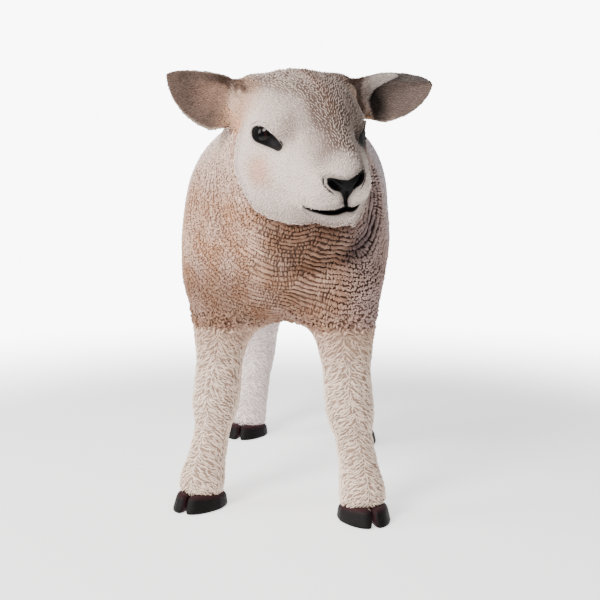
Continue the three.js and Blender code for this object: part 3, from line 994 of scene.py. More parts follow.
class Markings:
    """The lamb's painted markings, with the painted shade and painted highlights laid in among them, the
    same for its skin and its coat.
    """

    mottle = Waves(38, 21)
    cloud = Waves(90, 22)
    grain = Waves(9, 23)

    def crest(self, at: Places) -> Array:
        """The colour of the raised hair and wool at some places."""
        base = blend(HUE.apricot, HUE.smoke, step(at.q[:, 0], 0, 20))
        # the roots of the ears, toward the shadow colour: partly paint, partly painted shade where ear meets
        # head
        root = blend(base, HUE.shadow, 0.85 * self.tuft(at))
        return layered(
            self.fleece(at),
            # lilac on the lamb's left of the neck and chest: painted shade on the side turned from the lamps
            (HUE.lilac, 0.45 * at.front * step(at.x, 70, 130)),
            (root, 0.85 * step(at.by_ear, 18, 8)),
            # umber just outside the raised line round the jaw: painted shade in the groove beside it
            (HUE.umber, 0.5 * bump(at.border, 6, 4.5) * at.jaw_side),
            (self.hair(at), at.leg),
            (self.face(at), at.face),
            (self.ears(at), at.ear),
        )

    def hollow(self, at: Places) -> Array:
        """The colour of the wash that has run in between, with painted shade: darker in the deep grooves of
        the neck, under the jaw and along its deepest fold, and on the ears a darker copy of their own
        colour.
        """
        # darker wash in the deeper grooves of the neck, turning to dusk as painted shade where they are
        # deepest
        groove = np.clip(groove_depth(at) * step(at.ring, 225, 150) + 0.15 * self.mottle(at.p), 0, 1)
        front = blend(blend(HUE.bark, HUE.umber, groove), HUE.dusk, groove**2 * 0.75)
        # dusk as painted shade in the hollow under the jaw, on the left of the throat and along the deepest
        # fold
        front = blend(front, HUE.dusk, np.clip(0.85 * self.recess(at) + 0.6 * self.crease(at), 0, 1))
        return layered(
            HUE.lilac,
            (front, at.front),
            (HUE.apricot, 0.9 * self.by_jaw(at)),
            (blend(HUE.biscuit, HUE.lilac * 1.25, 0.85 * step(at.y, 60, 160)), at.leg),
            (blend(self.face(at), HUE.shadow, 0.5 + 0.42 * self.stipple(at)), at.face),
            (self.ears(at) * 0.42, at.ear),
        )

    def fleece(self, at: Places) -> Array:
        """Tan on the neck and chest, pale behind, with painted shade: lilac low on the lamb's left flank,
        umber under the jaw and along the neck's deepest fold.
        """
        tan = at.front * (0.92 + 0.1 * self.mottle(at.p))
        tan *= 1 - 0.45 * step(at.z, 430, 540)
        low = at.front * step(at.z, 390, 310) * (0.6 + 0.05 * self.mottle(at.p))
        low *= 1 - 0.4 * step(at.x, 40, 110)
        # painted shade: lilac low on the lamb's left flank, the side turned from the lamps
        shade = 0.6 * step(at.x, 85, 120) * step(at.z, 300, 380) * (1 - at.front)
        highlights = at.front * np.clip(0.1 + 0.08 * self.cloud(at.p) + 0.2 * self.grain(at.p), 0, 0.4)
        return layered(
            HUE.fleece,
            (HUE.tan, np.clip(tan, 0, 1)),
            (HUE.lilac, shade),
            (HUE.cream, highlights),
            # umber as painted shade under the jaw and along the deepest fold, and darker towards the bottom
            # of the chest
            (HUE.umber, np.clip(0.85 * self.recess(at) + low + 0.35 * self.crease(at), 0, 0.95)),
            (HUE.apricot, 0.5 * self.by_jaw(at)),
        )

    def crease(self, at: Places) -> Array:
        """How much dark wash and painted shade lie along the deepest fold of the neck."""
        away = at.ring + 4 * FOLD_WAVE(at.p) - MAIN_FOLD
        return at.front * bump(away, 0, 17) * step(at.x, -60, 40) * step(at.border, 6, 20)

    def recess(self, at: Places) -> Array:
        """How much dark wash and painted shade lie in the hollow under the jaw and on the left of the
        throat, the side turned from the lamps.
        """
        under = step(at.ring, 118, 80) * step(at.q[:, 2], -78, -100) * step(at.x, -50, 10)
        side = step(at.x, 60, 110) * step(at.z, 470, 400) * step(at.ring, 150, 110) * 0.8
        return np.clip(np.maximum(under, side) * at.front * (1 + 0.08 * self.mottle(at.p)), 0, 1)

    def by_jaw(self, at: Places) -> Array:
        """How much of the warm tint beside the face there is, from the ear down to the jaw."""
        beside = bump(at.border, 6, 16) * step(at.q[:, 2], -70, -20) * step(at.q[:, 2], 46, 24)
        return np.clip(beside * (0.7 + 0.4 * self.mottle(at.p)), 0, 1) * (1 - at.face)

    def hair(self, at: Places) -> Array:
        """The legs: cream, with a warmer tint in front and below the hem."""
        warm = (step(at.z, 190, 285) * 0.7 + 0.06) * step(at.y, 80, -60)
        return layered(HUE.hair, (HUE.tan, warm), (HUE.fleece, step(at.y, 60, 160) * 0.8))

    def stipple(self, at: Places) -> Array:
        """How much of the grey-brown stipple there is: forehead, bridge and muzzle, with painted shade added
        on the lamb's left of the bridge.
        """
        q = at.q
        across, y, z = np.abs(q[:, 0]), q[:, 1], q[:, 2]
        forehead = (0.55 + 0.45 * step(q[:, 0], -50, 6)) * step(across, 82, 40)
        forehead *= step(z, -2, 26) * step(y, -84, -44)
        bridge = (0.72 + 0.28 * step(q[:, 0], -40, 12)) * step(across, 50, 14) * step(y, -116, -92)
        bridge *= step(y, 10, -30) * step(z, -20, -4)
        poll = step(z, 40, 62)
        inner = bump(np.hypot(across - 46, y + 36), 0, 30) * step(z, -8, 12) * 0.7
        # painted shade on the lamb's left of the bridge, the side turned from the lamps
        shaded = 0.28 * step(q[:, 0], -40, 36) * step(z, -20, 12) * step(y, -104, -70)
        chin = 0.75 * step(z, -66, -80) * step(y, -40, -80)
        middle = 0.35 * bump(q[:, 0] - 6, 0, 56) * step(z, 10, 34) * step(y, -76, -44)
        total = np.maximum.reduce([0.75 * forehead, 1.1 * bridge, 0.8 * poll, inner, chin]) + shaded + middle
        return np.clip(total * (1 + 0.08 * self.mottle(at.p)), 0, 1)

    def face(self, at: Places) -> Array:
        """Off-white, with the stipple, a rose stripe down the forehead and a blush on each cheek, and
        painted shade under the jaw, on the far cheek and at the roots of the ears.
        """
        q = at.q
        across, y, z = np.abs(q[:, 0]), q[:, 1], q[:, 2]
        stripe = bump(q[:, 0] - 4, 0, 15) * step(y, -70, -40) * step(z, 18, 40)
        cheek = bump(np.hypot(y + 22, (z + 40) * 0.8), 0, 30) * step(across, 40, 62)
        temple = bump(np.hypot(y - 34, (z - 24) * 0.6), 0, 32) * step(across, 52, 68)
        # painted shade under the jaw and just inside the rim of the face below the eyes
        under = np.maximum(step(z, -74, -98), 0.8 * bump(at.border, -5, 8) * step(z, 14, -10))
        # painted shade on the far cheek, about and below the lamb's left eye
        far_cheek_shade = 0.9 * bump(np.hypot((y + 26) / 50, (z + 6) / 40), 0, 1) * step(q[:, 0], 36, 50)
        return layered(
            HUE.face,
            (HUE.smoke, 0.44 * self.stipple(at) + 0.03 + 0.04 * self.cloud(at.p)),
            (HUE.rose, 0.3 * stripe),
            (HUE.blush, 0.75 * cheek),
            (HUE.orange, 0.5 * temple),
            (HUE.smoke, 0.3 * under),
            (HUE.apricot * 0.85, 0.6 * step(at.by_ear, 20, 4) * step(q[:, 0], 0, -20)),
            (HUE.shadow * 0.6, np.clip(np.maximum(far_cheek_shade, 0.85 * self.tuft(at)), 0, 1)),
        )

    def tuft(self, at: Places) -> Array:
        """How much of the dark brown there is at the upper base of each ear, partly paint and partly painted
        shade where the ear meets the head.
        """
        dark = np.zeros(len(at.p))
        for side, ear in EARS.items():
            t, v, _ = ear.coordinates(at.p)
            here = step(t, 0.06, -0.04)
            if side is Side.RIGHT:
                here = 1.3 * bump(np.hypot((t - 0.03) / 0.36, (v - 0.6) / 0.95), 0, 1)
            dark = np.maximum(dark, here * step(ear.field()(at.p), 16, 6))
        return np.clip(1.3 * dark * (1 + 0.6 * self.grain(at.p)), 0, 1)

    def ears(self, at: Places) -> Array:
        """Grey-brown, paler in the dish of the right ear, dark in the cup of the left as painted shade, with
        a painted highlight along the edges and painted shade at the roots.
        """
        colour = np.repeat(HUE.ear[None], len(at.p), 0)
        faces = {Side.LEFT: (self.left_ear, 0.15), Side.RIGHT: (self.right_ear, 0.6)}
        for side, ear in EARS.items():
            t, v, height = ear.coordinates(at.p)
            front = step(height, -0.6, 0.8)
            inside, rim_highlight = faces[side]
            # a pale painted highlight along the ear's edges
            shade = blend(inside(t, v, front), HUE.hair, rim_highlight * step(np.abs(v), 0.9, 1.0))
            back = blend(HUE.ear, HUE.fleece, 0.55)
            # the ear's upper root: partly paint, partly painted shade where it meets the head
            shade = blend(blend(shade, back, 1 - front), HUE.shadow, 0.8 * self.tuft(at))
            colour = blend(colour, shade, step(ear.field()(at.p), 12, 6))
        return colour * (1 + 0.12 * self.mottle(at.p))[:, None]

    @staticmethod
    def right_ear(t: Array, v: Array, front: Array) -> Array:
        """The colours inside the right ear, by the place on it and how much of its front it is, with the
        dark under its upper edge near the root partly painted shade.
        """
        dish = bump(v, -0.15, 0.75) * bump(t, 0.3, 0.42)
        return layered(
            blend(HUE.ear, HUE.smoke, 0.75),
            (HUE.blush, np.clip(0.2 * dish * front, 0, 1)),
            (HUE.apricot * 0.8, 0.5 * front * step(t, 0.3, 0.02) * step(v, 0.5, -0.1)),
            # dark at the upper part near the root: partly paint, partly painted shade under the overhanging
            # upper edge
            (HUE.ear_dark, 0.7 * front * step(v, 0.1, 0.6) * step(t, 0.45, 0.1)),
        )

    @staticmethod
    def left_ear(t: Array, v: Array, front: Array) -> Array:
        """The colours inside the left ear, with painted shade deep in its cup and in the groove beside the
        pale flap over it.
        """
        pit_shade = bump(np.hypot((t - 0.12) / 0.42, (v + 0.4) / 1.0), 0, 1)
        past = Ear.fold(t, v)
        return layered(
            HUE.ear,
            (HUE.face, 0.6 * step(v, 0.35, 0.7) * step(t, 0.5, 0.35)),
            (HUE.tan, 0.2 * step(v, 0.6, 0.2) * front),
            # painted shade deep in the cup
            (HUE.ear_dark, np.clip(1.25 * pit_shade, 0, 0.95) * front),
            # painted shade in the groove beside the flap
            (HUE.ear_dark, 0.8 * bump(past, 0.03, 0.05) * step(v, 0.85, 0.5) * front),
            (HUE.face * 1.04, 0.9 * step(past, 0.02, -0.02) * (0.3 + 0.7 * step(v, -0.35, 0.45)) * front),
        )

    def black(self, at: Places) -> Array:
        """How much of the glossy black there is: lids, tear lines, nose and mouth, with painted shade about
        the mouth.
        """
        lids = step(at.eye_edge, 1.5, -0.3) * (0.96 + 0.04 * step(at.eye_a, 34, 20))
        halo = 0.3 * step(at.eye_edge, 7, 0) * step(at.eye_b, 4, -6)
        thick = 1.6 + 1.4 * step(np.abs(at.q[:, 0]), 40, 14)
        mouth = step(np.abs(at.mouth_over), thick + 2.4, thick) * at.mouth_share
        nose = np.maximum(step(at.nose, 1.2, -0.8), 0.75 * self.nostril_line(at))
        # painted shade about the mouth's slit
        mouth_shade = 0.6 * step(np.abs(at.mouth_over + 1.5), 12, 2) * at.mouth_share
        under_nose = 0.55 * step(at.nose, 7, 0)
        return np.maximum.reduce([lids, halo, mouth, nose, mouth_shade, under_nose]) * step(at.face, 0.2, 0.8)

    def nostril_line(self, at: Places) -> Array:
        """The thin dark line round the pale rim on the outer side of each nostril, which leaves the rim as a
        painted highlight on the lit edge of the nostril's wing.
        """
        away, t = MUZZLE.wing_of(at.q)
        across, z = MUZZLE.upright(at.q)
        outside = step(np.abs(across) - 0.955 * (z - MUZZLE.fork[1]), 0, 4)
        return 1.5 * bump(away, 9.0, 2.3) * outside * step(t, 0.35, 0.7) * step(at.q[:, 1], -86, -92)

    def horn(self, at: Places) -> Array:
        """How much of the hoof's dark paint has been carried onto the skin inside it."""
        dark = np.zeros(len(at.p))
        for leg in LEGS.values():
            near = np.hypot(*(at.p - leg.foot()[0])[:, :2].T) < 90
            dark = np.maximum(dark, near * step(leg.over_hoof(at.p), 0, -3))
        return dark


MARKINGS = Markings()


def shiny(black: Array) -> Array:
    """Where the black paint is thick enough to shine."""
    return step(black, 0.55, 0.95)


def give_paint(mesh: Mesh, colour: Array, **numbers: Array) -> None:
    """Stores the paint on a mesh's vertices, for its finish to read.

    Args:
        mesh: the mesh.
        colour: its colour at each vertex, as scene-linear light.
        numbers: more values at each vertex, by the name that the finish reads.
    """
    rgba = np.column_stack([np.clip(colour, 0, 1), np.ones(len(colour))]).astype(np.float32)
    mesh.attributes.new("paint", "FLOAT_COLOR", "POINT").data.foreach_set("color", rgba.ravel())
    for name, values in numbers.items():
        stored = mesh.attributes.new(name, "FLOAT", "POINT").data
        stored.foreach_set("value", np.asarray(values, np.float32))


# -------- shader nodes
class Value:
    """A number socket that is used as a number: an expression on it adds its Math nodes."""

    def __init__(self, shader: "Shader", socket: NodeSocket) -> None:
        """Wraps an output socket of a shader's node."""
        self.shader, self.socket = shader, socket

    def math(self, operation: str, *others: "Value | float", flip: bool = False) -> "Value":
        """One Math node on this value and others, in this order or with the first two swapped."""
        terms = [self, *others]
        if flip:
            terms = terms[::-1]
        made = self.shader.node("ShaderNodeMath", {"operation": operation}, dict(enumerate(terms)))
        return Value(self.shader, made.outputs[0])

    def __add__(self, other: "Value | float") -> "Value":
        """The sum."""
        return self.math("ADD", other)

    def __sub__(self, other: "Value | float") -> "Value":
        """The difference."""
        return self.math("SUBTRACT", other)

    def __rsub__(self, other: float) -> "Value":
        """A number less this value."""
        return self.math("SUBTRACT", other, flip=True)

    def __mul__(self, other: "Value | float") -> "Value":
        """The product."""
        return self.math("MULTIPLY", other)

    __radd__ = __add__
    __rmul__ = __mul__

    def step(self, low: float, high: float) -> "Value":
        """A smooth step from 0 at `low` to 1 at `high`."""
        inputs = {"Value": self, "From Min": low, "From Max": high}
        made = self.shader.node("ShaderNodeMapRange", {"interpolation_type": "SMOOTHSTEP"}, inputs)
        return Value(self.shader, made.outputs["Result"])


class Nodes:
    """A tree of nodes, made one by one."""

    def __init__(self, tree: NodeTree) -> None:
        """Empties the tree."""
        self.tree = tree
        self.tree.nodes.clear()

    def node(self, kind: str, settings: dict | None = None, inputs: dict | None = None) -> Node:
        """Adds one node.

        Args:
            kind: the node's type.
            settings: its own settings, which are set first.
            inputs: what its sockets take, by name or number: a number, a colour, a socket or a Value.

        Returns:
            The node.
        """
        made = self.tree.nodes.new(kind)
        for key, value in (settings or {}).items():
            setattr(made, key, value)
        for key, value in (inputs or {}).items():
            self.feed(made.inputs[key], value)
        return made

    def feed(self, socket: NodeSocket, value: object) -> None:
        """Links a socket or a Value to an input socket, or sets a number or colour on it."""
        if isinstance(value, Value):
            value = value.socket
        if isinstance(value, NodeSocket):
            self.tree.links.new(value, socket)
        elif isinstance(value, (int, float)):
            socket.default_value = value
        else:
            socket.default_value = (*value, 1) if socket.type == "RGBA" else tuple(value)


class Shader(Nodes):
    """A material's nodes, with the surface shader that they feed."""

    def __init__(self, name: str) -> None:
        """Starts an empty material with its surface shader."""
        self.material = bpy.data.materials.new(name)
        self.material.use_nodes = True
        super().__init__(self.material.node_tree)
        self.surface = self.node("ShaderNodeBsdfPrincipled")
        self.node("ShaderNodeOutputMaterial", inputs={"Surface": self.surface.outputs["BSDF"]})
        self.place = self.node("ShaderNodeTexCoord").outputs["Object"]

    def set(self, **inputs: object) -> None:
        """Feeds the surface shader's sockets; an underscore in a name stands for a space."""
        for key, value in inputs.items():
            self.feed(self.surface.inputs[key.replace("_", " ")], value)

    def stored(self, name: str) -> Value:
        """A number that the mesh holds at each vertex."""
        made = self.node("ShaderNodeAttribute", {"attribute_name": name})
        return Value(self, made.outputs["Fac"])

    def paint(self) -> NodeSocket:
        """The colour that the mesh holds at each vertex."""
        return self.node("ShaderNodeAttribute", {"attribute_name": "paint"}).outputs["Color"]

    def noise(self, size: float, detail: float = 2.0) -> Value:
        """Noise with features about `size` millimetres wide."""
        inputs = {"Vector": self.place, "Scale": 1 / (size * MM), "Detail": detail}
        return Value(self, self.node("ShaderNodeTexNoise", inputs=inputs).outputs["Fac"])

    def mix(self, share: Value | float, a: object, b: object, how: str = "MIX") -> NodeSocket:
        """Mixes two colours.

        Args:
            share: how much of the second there is.
            a: the first colour or socket.
            b: the second.
            how: the way they are blended.

        Returns:
            The mixed colour's socket.
        """
        made = self.node("ShaderNodeMix", {"data_type": "RGBA", "blend_type": how})
        self.feed(made.inputs[0], share)
        self.feed(made.inputs[6], a)
        self.feed(made.inputs[7], b)
        return made.outputs[2]

    def bump(self, height: Value, strength: float, reach: float) -> None:
        """Bumps the surface by a height, `reach` millimetres for 1."""
        inputs = {"Height": height, "Strength": strength, "Distance": reach * MM}
        self.set(Normal=self.node("ShaderNodeBump", inputs=inputs).outputs["Normal"])


@dataclass(frozen=True)
class PaintedResin:
    """Cast resin, primed, painted with a brush, washed with thin umber and sealed half matt."""

    name: str
    roughness: float = 0.52
    grain: float = 0.8
    speckle: bool = False

    def material(self) -> Material:
        """Builds the finish."""
        shader = Shader(self.name)
        brushed = shader.noise(9, 3)
        fine = shader.noise(1.6, 2)
        tint = brushed * 0.16 + fine * 0.14 + 0.85
        channels = {"Red": tint, "Green": tint, "Blue": tint * 0.99 + 0.005}
        grey = shader.node("ShaderNodeCombineColor", inputs=channels).outputs["Color"]
        colour = shader.mix(1.0, shader.paint(), grey, "MULTIPLY")
        if self.speckle:
            colour = self.speckled(shader, colour)
        gloss = shader.stored("gloss")
        shader.set(Base_Color=colour, Roughness=(fine * 0.1 + self.roughness) * (1 - gloss * 0.25), IOR=1.17)
        shader.bump(fine * 0.6 + brushed * 0.4, 0.5, self.grain)
        return shader.material

    def speckled(self, shader: Shader, colour: NodeSocket) -> NodeSocket:
        """Small brown dots flicked over the face."""
        inputs = {"Vector": shader.place, "Scale": 1 / (15 * MM), "Randomness": 1.0}
        cell = shader.node("ShaderNodeTexVoronoi", {"feature": "F1"}, inputs)
        dot = 1 - Value(shader, cell.outputs["Distance"]).step(0.035, 0.075)
        return shader.mix(dot * shader.stored("speckle") * 0.8, colour, tuple(linear(122, 76, 52)))


@dataclass(frozen=True)
class GlossEye:
    """A black glass-like eye with a faint brown ring."""

    def material(self) -> Material:
        """Builds the finish."""
        shader = Shader("eye_gloss")
        ring = shader.stored("iris") * (shader.noise(1.1) * 0.4 + 0.1)
        colour = shader.mix(ring, tuple(linear(5, 4, 5)), tuple(linear(50, 28, 20)))
        shader.set(Base_Color=colour, Roughness=shader.noise(6) * 0.03 + 0.05, IOR=1.22)
        shader.bump(shader.noise(7), 0.06, 0.3)
        return shader.material


@dataclass(frozen=True)
class HoofPaint:
    """Near-black horn paint, plum towards the hair and in the cleft, with fine growth lines."""

    def material(self) -> Material:
        """Builds the finish."""
        shader = Shader("hoof_paint")
        streak = shader.noise(3.5, 4)
        worn = shader.noise(14, 2).step(0.55, 0.75) * 0.12
        colour = shader.mix(worn, shader.paint(), tuple(linear(46, 38, 38)))
        shader.set(Base_Color=colour, Roughness=streak * 0.2 + 0.45, IOR=1.2)
        height = shader.node("ShaderNodeSeparateXYZ", inputs={"Vector": shader.place}).outputs["Z"]
        lines = (Value(shader, height) * (2 * math.pi / (2.6 * MM)) + streak * 3.0).math("SINE")
        shader.bump(lines * 0.3 + streak * 0.7, 0.35, 0.5)
        return shader.material


@dataclass(frozen=True)
class PaleFloor:
    """A plain white studio floor, which fades into the white room."""

    fade: Two = (0.7, 1.9)  # how far from its middle it starts to fade, and is gone
    glow: float = 1.2

    def material(self) -> Material:
        """Builds the finish."""
        shader = Shader("floor_white")
        colour = shader.mix(shader.noise(400), (0.93, 0.93, 0.935), (0.9, 0.9, 0.905))
        away = shader.node("ShaderNodeVectorMath", {"operation": "LENGTH"}, {0: shader.place})
        shown = 1 - Value(shader, away.outputs["Value"]).step(*self.fade)
        shader.set(Base_Color=colour, Roughness=0.75, Alpha=shown)
        shader.set(Emission_Color=(1, 1, 1), Emission_Strength=self.glow)
        return shader.material


# -------- the skin
@dataclass
class Skin:
    """The one skin of the lamb, which stands for every node of its flesh."""

    cell: float = 6.4
    swell: float = 4.0  # thin ears are meshed this much thicker, and drawn back onto their true form
    fillet: float = 10.0  # where an ear grows from the head
    vertices: Array = field(init=False)
    normals: Array = field(init=False)
    triangles: Array = field(init=False)
    places: Places = field(init=False)
    carving: Carving = Carving()
    finish: PaintedResin = PaintedResin("painted_face", roughness=0.46, grain=0.4, speckle=True)

    def form(self) -> Field:
        """The flesh with its ears, out to the tips of the coat."""
        return joined(self.fillet, body_field(), *[ear.field() for ear in EARS.values()])

    def levels(self) -> list[Field]:
        """Where the mesh is cut finer: for each level, a test of points."""

        def head_and_neck(p: Array) -> Array:
            at = Places(p)
            return (p[:, 1] < -165) & (p[:, 2] > 285) & ((at.leg < 0.5) & (at.ring < 205)) | (at.ear > 0.2)

        def features(p: Array) -> Array:
            at = Places(p)
            mouth = (np.abs(at.mouth_over) < 12) & (at.q[:, 1] < -68)
            return (at.eye_edge < 11) | mouth | (at.nose < 9) | (at.ear > 0.3)

        def edges(p: Array) -> Array:
            at = Places(p)
            mouth = (np.abs(at.mouth_over) < 6) & (at.q[:, 1] < -72)
            return (np.abs(at.eye_edge) < 6.5) | mouth | (at.nose < 4.5)

        return [head_and_neck, features, edges]

    def relaxed(self, mesh: Mesh, points: Array) -> Array:
        """Points with the thin rims of the ears smoothed along their length."""
        at = Places(points)
        rim = np.zeros(len(points), bool)
        for ear in EARS.values():
            t, v, _ = ear.coordinates(points)
            rim |= (at.ear > 0.9) & ((np.abs(v) > 0.7) | (t > 0.85))
        place(mesh, points)
        bm = bmesh.new()
        bm.from_mesh(mesh)
        bm.verts.ensure_lookup_table()
        loose = [bm.verts[n] for n in np.flatnonzero(rim)]
        axes = ("use_axis_x", "use_axis_y", "use_axis_z")
        for _ in range(6):
            bmesh.ops.smooth_vert(bm, verts=loose, factor=0.5, **dict.fromkeys(axes, True))
        bm.to_mesh(mesh)
        bm.free()
        return positions(mesh)

    def build(self) -> Object:
        """Meshes, refines, settles, carves and paints the skin.

        Returns:
            The skin's object.
        """
        body, ears = body_field(), [ear.field() for ear in EARS.values()]
        thick = joined(self.fillet, body, *[lambda p, one=one: one(p) - self.swell for one in ears])
        vertices, quads = net(thick, (-200, -440, -5), (250, 340, 690), self.cell)
        mesh = mesh_of("skin", vertices, quads)
        form = self.form()
        for wanted in self.levels():
            bm = bmesh.new()
            bm.from_mesh(mesh)
            bm.verts.ensure_lookup_table()
            inside = wanted(settled(form, positions(mesh), self.swell, 1))
            edges = [e for e in bm.edges if inside[e.verts[0].index] and inside[e.verts[1].index]]
            bmesh.ops.subdivide_edges(bm, edges=edges, cuts=1, use_grid_fill=True, smooth=0.0)
            bm.to_mesh(mesh)
            bm.free()
        points = self.relaxed(mesh, settled(form, positions(mesh), self.swell, 4))
        points = settled(form, points, 1.0, 2)
        at = Places(points)
        gradient = unit(slope_of(form, points, 0.8)[1])
        height = self.carving.height(at) - self.carving.depth(at)
        points = points + gradient * height[:, None]
        place(mesh, points)
        mesh.validate()
        self.places, self.vertices = at, points
        rim = (np.abs(at.border) < 3.5) & (at.q[:, 2] < 60) & (at.ear < 0.5)
        RIM.trace(points[rim])
        self.normals = vectors(mesh.vertex_normals, "vector")
        mesh.calc_loop_triangles()
        self.triangles = np.empty(len(mesh.loop_triangles) * 3, int)
        mesh.loop_triangles.foreach_get("vertices", self.triangles)
        self.triangles = self.triangles.reshape(-1, 3)
        mesh.shade_smooth()
        self.dress(mesh)
        skin = piece("skin", mesh, self.finish.material())
        flesh = [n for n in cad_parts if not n.startswith(("eye_", "hoof_"))]
        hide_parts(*flesh)
        return skin

    def dress(self, mesh: Mesh) -> None:
        """Paints the skin: the coat's markings, darkened by the wash and painted shade where locks stand on
        it, with a painted highlight along the raised line round the jaw.
        """
        at = self.places
        soft = at.front * (1 - groove_depth(at)) * (1 - at.leg)
        # the skin between the locks takes the hollows' colour: the wash with painted shade
        washed = np.clip(0.95 - 0.2 * at.face * (1 - MARKINGS.stipple(at)) - 0.35 * soft, 0.1, 1)
        colour = blend(MARKINGS.crest(at), MARKINGS.hollow(at), washed)
        # cream along the raised line round the jaw: a painted highlight on its crest
        colour = blend(colour, HUE.cream, 0.9 * (bump(at.border, 0, 2.2) * at.jaw_side))
        black = MARKINGS.black(at)
        colour = blend(blend(colour, HUE.black, black), HUE.hoof * 0.6, MARKINGS.horn(at))
        tear = 1 - 0.9 * step(at.eye_a, 8, 16) * step(at.eye_edge, 6, 2)
        gloss = shiny(black) * np.where(at.nose < 3, 0.2, 1.0) * tear
        give_paint(mesh, colour, gloss=gloss, speckle=at.face * (1 - black))


# -------- the coat
class Section(Enum):
    """A lock's cross-section: its corners, as shares of its width and height."""

    RIDGE = ((-0.5, 0), (0, 1), (0.5, 0))
    FLAT = ((-0.5, 0), (-0.27, 0.95), (0.27, 0.95), (0.5, 0))


@dataclass(frozen=True)
class Lock:
    """One kind of lock: a small raised stroke of hair or nub of wool, with its size in millimetres."""

    length: float
    width: float
    height: float
    pitch: float  # room that each takes on the skin
    rings: int = 2  # cross-sections between its two ends
    section: Section = Section.RIDGE
    curl: float = 0.0  # how far its middle bows aside, as a share of its length
    stray: float = 18.0  # how far its direction strays, in degrees
    lift: float = 0.0  # how far its tip stands off the skin, in heights
    apart: float = 0.0  # the least distance between two in a row
    blunt: float = 0.0  # 0 for ends that taper to a point, 1 for square ends
    vary: float = 0.25  # how much the sizes vary

    def profile(self) -> Array:
        """The corners of its cross-section."""
        return np.array(self.section.value)

    def stations(self) -> Array:
        """Where along it its cross-sections stand, with its two ends."""
        inner = np.linspace(0, 1, self.rings + 2)[1:-1]
        inner = 0.5 + (inner - 0.5) * (1 + 0.75 * self.blunt)
        return np.concatenate([[0], inner, [1]])

    def faces(self) -> Array:
        """Its triangles: rings of corners between a root point and a tip point."""
        corners = len(self.section.value)
        tip = 1 + corners * self.rings
        made = []
        for n in range(corners):
            after = (n + 1) % corners
            made.append((0, 1 + after, 1 + n))
            made.append((tip, tip - corners + n, tip - corners + after))
            for ring in range(self.rings - 1):
                a, b = 1 + ring * corners + n, 1 + ring * corners + after
                made += [(a, b, b + corners), (a, b + corners, a + corners)]
        return np.array(made)[:, ::-1]

    def patch(self) -> Array:
        """Its vertices on a square of side 1, for its patch of the map."""
        corners = len(self.section.value)
        inner = [(t, n / (corners - 1)) for t in self.stations()[1:-1] for n in range(corners)]
        return np.array([(0.0, 0.5), *inner, (1.0, 0.5)])


Flow = Callable[[Places, Array], Array]
Unwrap = Callable[[Array], Array]
Rows = Callable[[Places], Array]


@dataclass(frozen=True)
class Tract:
    """One piece of the coat: a region of the skin that bears one kind of lock."""

    name: str
    slot: str
    share: Array  # how much of this coat each vertex of the skin bears
    lock: Lock
    flow: Flow
    unwrap: Unwrap  # places to map coordinates on an unwrap of this part of the skin
    rows: Rows | None = None  # the place across rows, where the locks stand in rows
    drawn: float = 0.9  # how far they are drawn to the rows' middles


def growth(rows: Rows, p: Array, nudge: float) -> tuple[Array, Array]:
    """The place across rows at some points, and how much it grows over a step along each axis."""
    here = rows(Places(p))
    return here, np.column_stack([rows(Places(p + nudge * axis)) - here for axis in np.eye(3)])


def apart(points: Array, distance: float) -> list[int]:
    """The points that are left when each, in turn, clears its surroundings."""
    found = sorted_tree(points)
    cleared = np.zeros(len(points), bool)
    kept = []
    for n, point in enumerate(points.tolist()):
        if not cleared[n]:
            kept.append(n)
            for _, other, _ in found.find_range(point, distance):
                cleared[other] = True
    return kept


